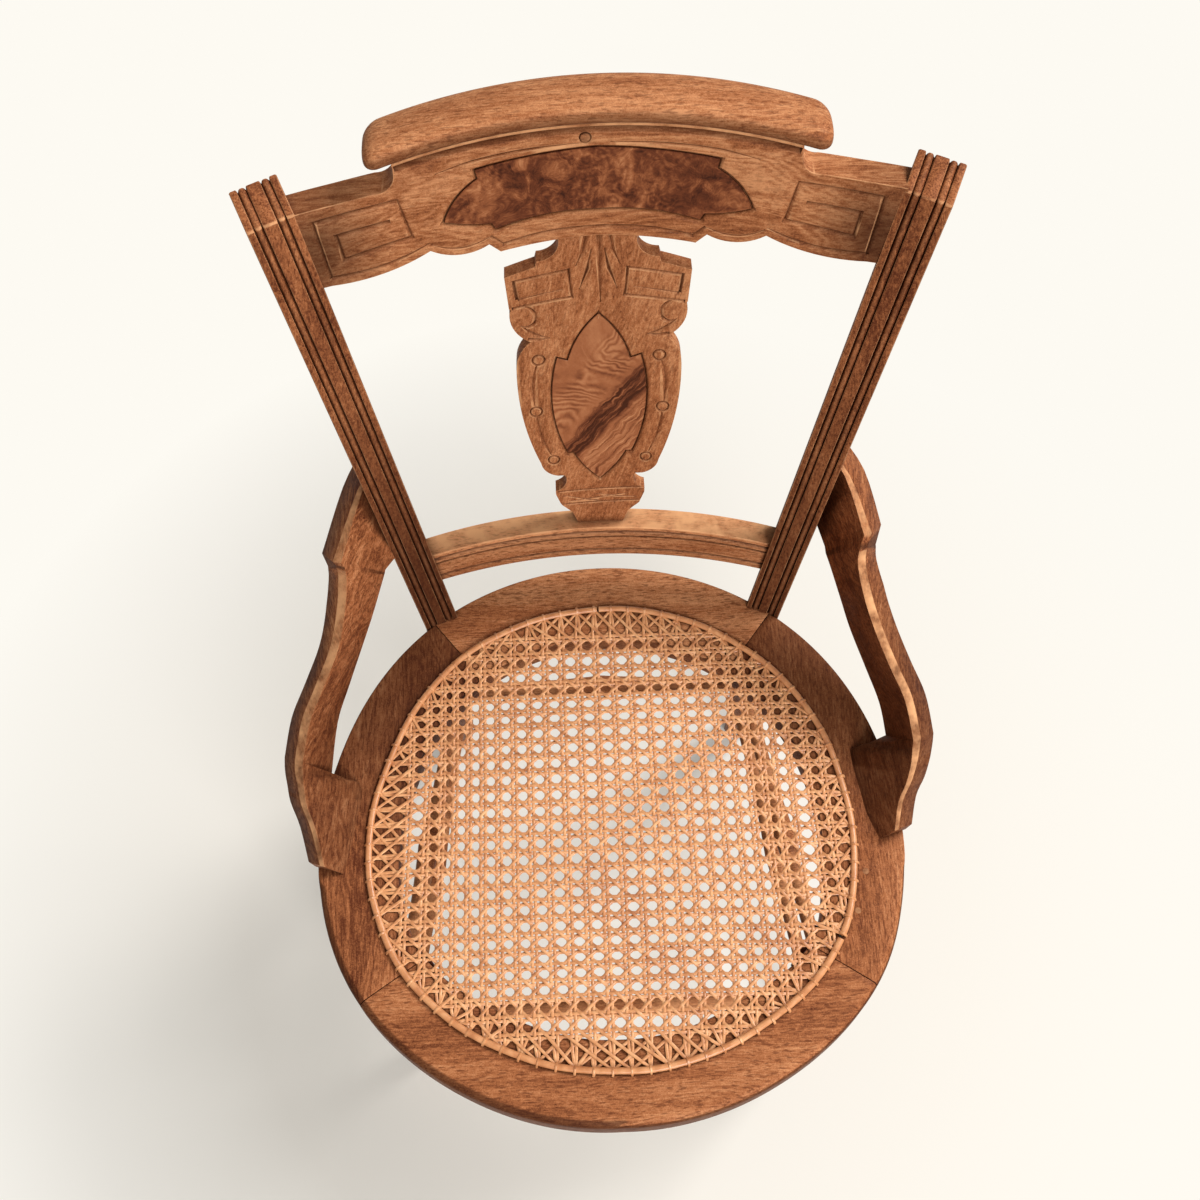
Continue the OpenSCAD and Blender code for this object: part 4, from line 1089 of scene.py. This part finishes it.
PEG_S, PEG_W, PEG_R = -7.0, 427.4, 3.1
fret = [(127.0, 383.5), (160.5, 380.2), (158.0, 361.6), (115.1, 369.2), (121.5, 397.4), (173.2, 392.9), (167.5, 350.0)]
border = eased([(167.5, 350.0), (150, 349.6), (134, 351.4), (118, 356.2), (104.4, 362.6)], 4)
lobe_line = eased([(103.8, 361.0), (94, 356.4), (84, 355.4), (75.4, 357.2), (67.4, 361.0)], 4)
middle_line = [(67.0, 361.4)] + eased([(59.2, 354.4), (47, 357.6), (34, 360.4), (17, 362.2), (0, 362.8)], 4)
top_line = eased([(97.0, 412.0), (84, 415.4), (69.6, 418.4), (50, 421.0), (30, 422.8), (8, 424.0)], 3)
under_cap = [(s, 433.6 - arch(s)) for s in range(-121, 122, 11)]

crest = plank(both_halves(crest_half), 0, CREST_T)
soften(crest, 0.9, 35, 2, only=lambda e: all(v.co.y < 0.1 for v in e.verts))
panel_outline = both_halves(panel_half)
cuts = panel_cuts(panel_outline, 0)
for line, width, depth, ends in (
        (fret, 1.7, 1.0, (1, 1)), (border, 1.5, 0.9, (1, 0.2)), (lobe_line, 1.0, 0.5, (0.3, 0.3)),
        (middle_line, 1.5, 0.9, (1, 1)), (top_line, 1.4, 0.8, (0.15, 0.15))):
    cuts += both_sides(line, width, depth, ends=ends)
cuts += [groove(under_cap, 3.2, 2.2), groove(ring_line(PEG_S, PEG_W, PEG_R + 0.2), 0.9, 0.9, closed=True)]
crest = carved(crest, cuts)
bead_section = [(0.6 - 1.5 * sin(radians(t)), 437.0 - 1.9 * cos(radians(t))) for t in range(0, 181, 30)]
bead_section += [(3, 438.9), (3, 435.1)]
bead = skin([[(s, deep, w - arch(s)) for deep, w in bead_section] for s in range(-122, 123, 4)])
finish_piece("crest", trim_to_posts(bowed(joined(crest, bead))), crest_wood, ["crest_rail"])
finish_piece("crest_veneer", bowed(veneer_for(panel_outline, 0)), crest_burl, ["crest_panel"])

peg = turned([(0, 0), (PEG_R, 0), (PEG_R, 18), (2.7, 18.5), (0, 18.7)], 24)
turn = Matrix.Translation(on_back(PEG_S, 18.5, PEG_W)) @ Matrix.Rotation(QUARTER - RAKE, 4, "X")
finish_piece("peg", moved(peg, turn), plug_wood, ["crest_peg"])


def cap():
    """The roll moulding over the crest, with rounded ends. Its nose is round, with painted shade below and a worn line
    with a painted highlight on top.
    """
    nose, deep, high, half, end_r = -9.0, 24.0, 16.0, 138.5, 10.0
    section = [(nose + 5, -high), (nose + 2.2, -high + 0.8), (nose + 0.8, -high + 2.6), (nose, -high + 5.4),
               (nose + 0.1, -high + 8.2), (nose + 1.1, -high + 10.6), (nose + 3.2, -high + 12.6),
               (nose + 6.5, -high + 14.0), (0.5, -1.2), (5, -0.5), (11, 0), (19, 0), (21.5, -0.67), (23.3, -2.5),
               (deep, -5.0), (deep, -high + 1.6), (deep - 0.5, -high + 0.5), (deep - 1.6, -high)]
    # Marks along the section: painted shade over the lower front, and a worn line with a painted highlight on the nose
    nose_shade_and_highlight = (-1.0, -0.95, -0.9, -0.8, -0.7, -0.25, 0.3, 0.0)
    rings = []
    n = 44
    for i in range(-n, n + 1):
        s = half * sin(pi / 2 * i / n)
        e = max(0.0, (abs(s) - half + end_r) / end_r)
        k = 0.38 + 0.62 * sqrt(max(0.0, 1 - e * e))
        middle = CAP_TOP_W - arch(s) - high / 2
        rings.append([on_back(s, (v - 8) * k + 8, middle + (w + high / 2) * k) for v, w in section])
    return skin(rings, wear_and_painted_light=[nose_shade_and_highlight] * len(rings))


finish_piece("cap", cap(), cap_wood, ["crest_cap"])


# ---------------------------------------------------------------- the splat

splat_half = [(0, 355.6), (24.6, 354.2)] + arc((25.2, 344), (39.6, 332.6), -3.4, 8)
splat_half += [(40.7, 328.2), (60.6, 321.8), (58.8, 295.2), (57.6, 294)] + arc((58.6, 292), (46.5, 265.6), 4.2, 9)
splat_half += arc((45.9, 265.3), (56.2, 243), 2.6, 7) + arc((56.4, 241), (42.7, 146.8), 4.2, 14)
splat_half += arc((42.6, 146), (31, 133), 2.6, 7) + [(25.9, 132.8)] + arc((25.4, 131.6), (33, 116.6), -3.6, 8)
splat_half += [(32.9, 112.5), (29.3, 101.2), (23.8, 95.3), (20.8, 92), (19.6, 88), (16.8, 79.6), (0, 79.6)]
oval_half = [(0, 286)] + arc((0.6, 285), (21.3, 245.5), 3.1, 9) + arc((28.7, 248.5), (23.1, 155.6), 7, 14)
oval_half += arc((18.9, 155.7), (0.6, 128), 1.6, 7)

# Grooves with a twin on the other side, and then those across the foot: line, width, depth and ends
leaf_fold, side_leaf = [(6.8, 355), (9.5, 338), (14.2, 327)], [(4.2, 340), (7.0, 324), (12.2, 307.5)]
wing_frame = [(53.0, 303), (54.6, 317.6), (19.2, 323.8), (17.4, 301.3), (56.8, 295.4)]
upper_stem = eased([(42.6, 243.2), (45.2, 232), (46.0, 221), (45.2, 204.4)], 4)
lower_stem = eased([(44.2, 195.2), (42.8, 182), (39.8, 168), (34.6, 154)], 4)
scroll = eased([(49.5, 296.5), (44.5, 293.6), (41.4, 287.6), (42.6, 281.2), (47.0, 278.4), (51.6, 279.6)], 4)
scroll_tail = eased([(52.0, 280.5), (46.5, 274.6), (39.5, 269.6), (32.6, 267.4)], 4)
waist_line = [(33.0, 267.2), (39.6, 266.4), (47.4, 267.8)]
upper_grooves = ((leaf_fold, 2.0, 1.0, (1, 0.1)), (side_leaf, 2.0, 1.0, (0.1, 0.1)), (wing_frame, 1.5, 0.8, (1, 1)),
                 ([(52.4, 302.6), (23.0, 308.2)], 1.1, 0.5, (1, 0.2)))
side_grooves = ((upper_stem, 2.0, 0.9, (0.6, 0.3)), (lower_stem, 2.0, 0.9, (0.6, 0.3)), (scroll, 2.3, 1.1, (0.2, 0.2)),
                (scroll_tail, 1.6, 0.9, (0.2, 0.1)), (waist_line, 1.6, 0.9, (0.1, 1)))
foot_grooves = (([(-31, 115.4), (0, 117.0), (32.8, 118.0)], 1.1, 0.6, (1, 1)),
                ([(-29.6, 101.2), (0, 102.8), (31, 104.0)], 1.1, 0.6, (1, 1)),
                ([(-27, 110.8), (-9, 105.4), (11, 101.8)], 0.9, 0.45, (0.2, 0.2)),
                ([(-25, 104.0), (-2, 107.4), (20, 111)], 0.9, 0.45, (0.2, 0.2)),
                ([(-3, 111.5), (12, 108.4), (27, 107.4)], 0.9, 0.45, (0.2, 0.2)))

splat = plank(both_halves(splat_half), SPLAT_V, SPLAT_V + SPLAT_T)
soften(splat, 0.8, 35, 2, only=lambda e: all(v.co.y < SPLAT_V + 0.1 for v in e.verts))
oval_outline = both_halves(oval_half)
cuts = panel_cuts(oval_outline, SPLAT_V)
cuts.append(groove([(1.0, 355), (1.0, 330), (1.4, 296)], 2.6, 1.2, SPLAT_V, ends=(1, 0.1)))
for line, width, depth, ends in upper_grooves:
    cuts += both_sides(line, width, depth, SPLAT_V, ends=ends)
for s, w, r in ((41.1, 248.0, 4.2), (44.4, 199.8, 4.2), (33.4, 149.8, 3.9)):
    cuts += both_sides(ring_line(s, w, r, 18, 1.05), 1.3, 0.9, SPLAT_V, closed=True)
for line, width, depth, ends in side_grooves:
    cuts += both_sides(line, width, depth, SPLAT_V, ends=ends)
cuts += [groove(line, width, depth, SPLAT_V, ends=ends) for line, width, depth, ends in foot_grooves]
finish_piece("splat_board", bowed(carved(splat, cuts), 6.0), splat_wood, ["splat"])
finish_piece("splat_veneer", bowed(veneer_for(oval_outline, SPLAT_V), 6.0), splat_burl, ["splat_panel"])


# ---------------------------------------------------------------- the lower rail

def lower_rail():
    """The moulded rail under the splat, arched upwards. Its top is worn and painted with a highlight; its front has
    painted shade, deeper in its quirks.
    """
    rise, reach, half, n = 10.0, 125.0, 150, 36
    top_w, taller = 81, 1.08
    r = (reach * reach + rise * rise) / (2 * rise)
    section = [(0.6, 0), (0, -0.6), (0, -3.2), (1.0, -3.9), (1.3, -5.2), (0.5, -6.3), (0, -6.8), (0, -8.6), (0.9, -9.2),
               (0.9, -9.9), (0, -10.5), (0, -21.6), (0.8, -22.4), (0.8, -23.2), (0, -24), (0, -28), (0.8, -29),
               (19.2, -29), (20, -28.2), (20, -0.8), (19.2, 0)]
    rings = []
    for i in range(-n, n + 1):
        s = half * i / n
        drop = r - sqrt(r * r - s * s)
        rings.append([on_back(s, v, top_w + w * taller - drop) for v, w in section])
    # Worn and painted highlight on the top, painted shade on the front and deeper in the quirks
    marks = [0.8 if w > -1 else (-1.0 if deep > 0.7 else -0.62) for deep, w in section]
    return skin(rings, wear_and_painted_light=[marks] * len(rings))


finish_piece("lower_rail", trim_to_posts(lower_rail()), lower_rail_wood, ["lower_back_rail"])


# ---------------------------------------------------------------- the arms

# From the inner to the outer face of an arm: each arm, under its beak and where it is slim behind it
LEFT_OUT = Vector((16.4, 8.8, -11.7))
RIGHT_OUT = Vector((19.2, 9.6, -11.7))
BEAK_OUT = Vector((16.4, 15.0, -12.0))
SLIM_OUT = Vector((14.6, 8.0, -12.0))
# Across the worn chamfer
CHAMFER = Vector((6.0, 2.6, -1.9))


def arm_ring(corner, inner, chamfer, out, foot):
    """A section of the arm: worn chamfer, inner face down to its inner edge, underside, and outer face."""
    c, i = Vector(corner), Vector(inner)
    e, o, u = c + CHAMFER * chamfer, c + out, (i - c).normalized()
    down = (o - e).normalized()
    d = Vector((SEAT_R - 5, i.y + 4, -5)) if foot else i + out
    return [e + down * 1.0, e, c, c + u * 0.9, i - u * 1.6, i + out * 0.07, d - out * 0.09, d - u * 2, o + u * 2,
            o - down * 1.5]


# The corner and the inner edge along each arm, as if on the right side, from behind the post to the foot
LEFT_HEAD = [((157, 238, 158), (141, 208, 92)), ((171, 208, 151), (150, 190, 90)), ((186.5, 159, 137), (160, 176, 90))]
LEFT_BODY = [((184.4, 157, 133), (160.5, 174, 89)), ((184.6, 152, 121), (163.1, 166, 86)),
             ((187.2, 132.4, 108), (171.4, 149.2, 70)), ((193.5, 111.5, 93), (180.6, 131, 55)),
             ((205.3, 88.8, 78), (191.8, 105.6, 40)), ((216.6, 67.7, 64), (201.6, 81.8, 26)),
             ((223.4, 43, 48), (207.6, 48, 8))]
LEFT_FOOT = [((223.6, 37, 45), (196.0, 44, 4)), ((223.6, 32, 43), (188.4, 42, 2)), ((223.0, 25, 39), (186.0, 33, 0)),
             ((221.6, 14, 33), (186.4, 18, -3)), ((215.4, -3, 26), (189.6, 0, -3)), ((210.6, -26, 15), (196, -28, -3))]
RIGHT_HEAD = [((157, 238, 158), (154, 224, 92)), ((175, 208, 151), (159.5, 206, 91)),
              ((186.5, 167, 137), (165.4, 184, 88))]
RIGHT_BODY = [((183.2, 159, 134), (165.8, 179, 87)), ((182.8, 152, 121), (168.5, 167, 86)),
              ((187.0, 132.4, 108), (176.2, 149.2, 70)), ((195.0, 111.5, 93), (183.6, 131, 55)),
              ((205.8, 88.8, 78), (194.6, 105.6, 40)), ((216.6, 67.7, 64), (204.6, 81.8, 26)),
              ((222.4, 43, 48), (210.0, 62, 9))]
RIGHT_FOOT = [((221.6, 37, 45), (197.0, 58, 4)), ((221.2, 33, 43), (187.5, 56, 2)), ((220.0, 26, 39), (183.4, 51, 0)),
              ((216.4, 15, 33), (186, 20, -3)), ((210.4, 3, 26), (189, 4, -3)), ((207.4, -15, 15), (196.6, -16, -3))]


HEAD_STEPS = 4
UNDER_BEAK = len(LEFT_HEAD) * HEAD_STEPS - 3


def eased_pairs(stations, steps):
    return list(enumerate(zip(eased([c for c, i in stations], steps), eased([i for c, i in stations], steps))))


def arm_line(head, body, foot, out):
    """What arm_ring wants for each section along an arm. The head has 8 sections after its first, the foot 20."""
    beaked = eased_pairs(head, HEAD_STEPS)
    line = [(c, i, 0.15 + 0.85 * k / 8, out.lerp(BEAK_OUT, k / 8), False) for k, (c, i) in beaked]
    line += [(c, i, 1.0, SLIM_OUT.lerp(out, min(1.0, k / 9)), False) for k, (c, i) in eased_pairs(body, 5)]
    line += [(c, i, 1.0 - 0.5 * k / 20, out * (1 - 0.15 * k / 20), True) for k, (c, i) in eased_pairs(foot, 4)]
    return line


def arm(side):
    """An arm, cut to the post and to the seat."""
    shape = (LEFT_HEAD, LEFT_BODY, LEFT_FOOT, LEFT_OUT) if side < 0 else (RIGHT_HEAD, RIGHT_BODY, RIGHT_FOOT, RIGHT_OUT)
    # The lower outer corner gets painted shade, deeper on the left arm, which is turned from the light; the chamfer is
    # marked worn bare and painted with a highlight
    painted_shade_mark = -0.85 if side < 0 else -0.45
    marks = (-0.3, 0.95, 0.6, 0, 0.2, 0, 0, 0, painted_shade_mark, painted_shade_mark)
    rings = [arm_ring(*station) for station in arm_line(*shape)]
    wear_and_painted_light = [marks] * len(rings)
    # The two sections under the beak get painted shade
    wear_and_painted_light[UNDER_BEAK:UNDER_BEAK + 2] = [[-1.2 if mark else 0 for mark in marks]] * 2
    bm = skin(rings, wear_and_painted_light=wear_and_painted_light)
    outward(bm)
    beside_post = POST_FOOT + across_post * (POST_W0 / 2 - 0.5)
    away_from_post = (across_post * cos(post_taper) - post_dir * sin(post_taper)).normalized()
    sliced(bm, beside_post, away_from_post, clear_inner=True)
    sliced(bm, Vector((0, 0, 0.02)), Vector((0, 0, 1)), clear_inner=True)
    return on_side(bm, side)


finish_piece("arm_left_rest", arm(-1), arm_wood_left, ["arm_left"], sharp=50)
finish_piece("arm_right_rest", arm(1), arm_wood_right, ["arm_right"], sharp=50)


# ---------------------------------------------------------------- the base

LEG_X, LEG_Y = polar(199, radians(-24))
leg_h = SEAT_TOP - SEAT_T
UPPER_BEADS = leg_h - 120


def taper_at(z):
    return 10.5 + (14 - 10.5) * z / UPPER_BEADS


def roll(r, z):
    """The profile of a small half-round ring of a turning, from z up."""
    return arc((r, z), (r, z + 8), -2.4, 8)


leg_profile = [(0, 0), (8.6, 0), (9.8, 0.5), (10.5, 1.8), (taper_at(38), 38)] + roll(taper_at(38) + 1, 39)
leg_profile += [(taper_at(48), 48), (taper_at(UPPER_BEADS), UPPER_BEADS)] + roll(16, leg_h - 119)
leg_profile += arc((12, leg_h - 110), (12, leg_h - 72), 5, 12) + roll(16, leg_h - 70)
leg_profile += [(14, leg_h - 60), (17.4, leg_h - 55), (18, leg_h - 53), (18, leg_h), (0, leg_h)]
for side, name in ((-1, "front_leg_left"), (1, "front_leg_right")):
    at = Matrix.Translation((side * LEG_X, SEAT_Y + LEG_Y, 0))
    finish_piece("turned_" + name, moved(turned(leg_profile), at), leg_wood, [name])


def rod(a, b):
    """A turned stretcher between two points, thickest at its middle."""
    a, b = Vector(a), Vector(b)
    long = (b - a).length
    line = [(0, 0), (5.7, 0), (6.5, 0.8), (6.5, 30)] + arc((6.5, 30), (9.5, long / 2), 1.5, 9)
    line += arc((9.5, long / 2), (6.5, long - 30), 1.5, 9)[1:] + [(6.5, long - 0.8), (5.7, long), (0, long)]
    return moved(turned(line, 32), Matrix.Translation(a) @ (b - a).to_track_quat("Z", "Y").to_matrix().to_4x4())


def rear_leg_at(z):
    x, y = leg_middle((leg_h - z) / leg_h)
    return Vector((x, SEAT_Y + y, z))


FRONT_Z, BACK_Z, SIDE_Z = 190, 265, (130, 225)
front_rod = rod((-LEG_X + 2, SEAT_Y + LEG_Y, FRONT_Z), (LEG_X - 2, SEAT_Y + LEG_Y, FRONT_Z))
finish_piece("rod_front", front_rod, stretcher_wood, ["front_stretcher"])
knee = rear_leg_at(BACK_Z)
back_rod = rod((-knee.x + 0.3, knee.y, BACK_Z), (knee.x - 0.3, knee.y, BACK_Z))
finish_piece("rod_back", back_rod, stretcher_wood, ["back_stretcher"])
for side, name in ((-1, "side_stretchers_left"), (1, "side_stretchers_right")):
    rods = []
    for z in SIDE_Z:
        a, b = Vector((side * LEG_X, SEAT_Y + LEG_Y, z)), rear_leg_at(z)
        b.x *= side
        d = (b - a).normalized()
        rods.append(rod(a + d * 2, b - d))
    finish_piece("rods_" + name, joined(*rods), stretcher_wood, [name])

for name, finish in (("seat_dowels", plug_wood), ("arm_screws", screw_steel), ("post_screws", screw_steel)):
    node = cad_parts[name]
    node.data.materials.clear()
    node.data.materials.append(finish)


# ---------------------------------------------------------------- floor, light and camera

WHITE = (0.984, 0.956, 0.890, 1.0)
PAPER = (0.80, 0.772, 0.715, 1.0)
PAPER_THROWS_BACK = (0.30, 0.28, 0.25, 1.0)
FLOOR_HALF, FLOOR_Z = 12.0, -0.0004
# The paper shows so much of its own shade up to the first distance from the chair and none from the second on
SHADE, SHADE_TO, WHITE_FROM = 0.88, 0.36, 0.74


def paper_floor():
    """Plain pale paper: white to the camera far out, lit and shaded round the chair. It throws back little light."""
    f = Finish("pale paper floor")
    f.tree.nodes.remove(f.shader)
    near = f.between(f.vector("LENGTH", f.place), SHADE_TO, WHITE_FROM, SHADE, 0.0)
    glow = f.node("ShaderNodeEmission", None, Color=WHITE, Strength=1.0)
    lit = f.node("ShaderNodeBsdfDiffuse", None, Color=PAPER)
    shown = f.node("ShaderNodeMixShader", None, Fac=near, i1=glow, i2=lit)
    bounce = f.node("ShaderNodeBsdfDiffuse", None, Color=PAPER_THROWS_BACK)
    whole = f.node("ShaderNodeMixShader", None, Fac=f.seen_directly(), i1=bounce, i2=shown)
    f.give(f.tree.nodes["Material Output"].inputs["Surface"], whole)
    return f.material


bm = bmesh.new()
bmesh.ops.create_grid(bm, x_segments=1, y_segments=1, size=FLOOR_HALF)
bmesh.ops.translate(bm, vec=(0, 0, FLOOR_Z), verts=bm.verts)
floor_mesh = mesh_of("floor", bm)
floor_mesh.materials.append(paper_floor())
made = linked("floor", floor_mesh)

world = bpy.data.worlds.new("studio")
bpy.context.scene.world = world
world.use_nodes = True
world.node_tree.nodes.clear()
w = Nodes(world.node_tree)
air = w.node("ShaderNodeBackground", None, Color=WHITE, Strength=w.between(w.seen_directly(), 0.0, 1.0, 0.22, 1.0))
w.node("ShaderNodeOutputWorld", None, Surface=air)


def softbox(name, place, size, power):
    """A round soft lamp that shines on the middle of the chair."""
    lamp = bpy.data.lights.new(name, "AREA")
    lamp.shape = "DISK"
    lamp.size = size
    lamp.energy = power
    lamp.color = (1, 0.985, 0.97)
    aim = Vector((0.0, 0.0, 0.5)) - Vector(place)
    linked(name, lamp).matrix_world = Matrix.Translation(place) @ aim.to_track_quat("-Z", "Y").to_matrix().to_4x4()


softbox("key, upper right", (2.7, 1.4, 3.9), 1.8, 165)
softbox("front fill", (1.4, -3.9, 3.3), 2.4, 205)

CAMERA_AT = on_seat(-25.44, -360.4, 1148.5) * MM
pitch, yaw, tilt = (radians(a) for a in (64.439, 2.512, 0.294))
ahead = Vector((sin(yaw) * cos(pitch), cos(yaw) * cos(pitch), -sin(pitch)))
level = Vector((cos(yaw), -sin(yaw), 0))
above = level.cross(ahead)
right = level * cos(tilt) + above * sin(tilt)
above = above * cos(tilt) - level * sin(tilt)
lens = bpy.data.cameras.new("camera")
lens.sensor_width, lens.lens, lens.clip_start = 36, 48, 0.02
camera = linked("camera", lens)
camera.matrix_world = Matrix.Translation(CAMERA_AT) @ Matrix((right, above, -ahead)).transposed().to_4x4()
bpy.context.scene.camera = camera
bpy.context.scene.view_settings.view_transform = "Standard"
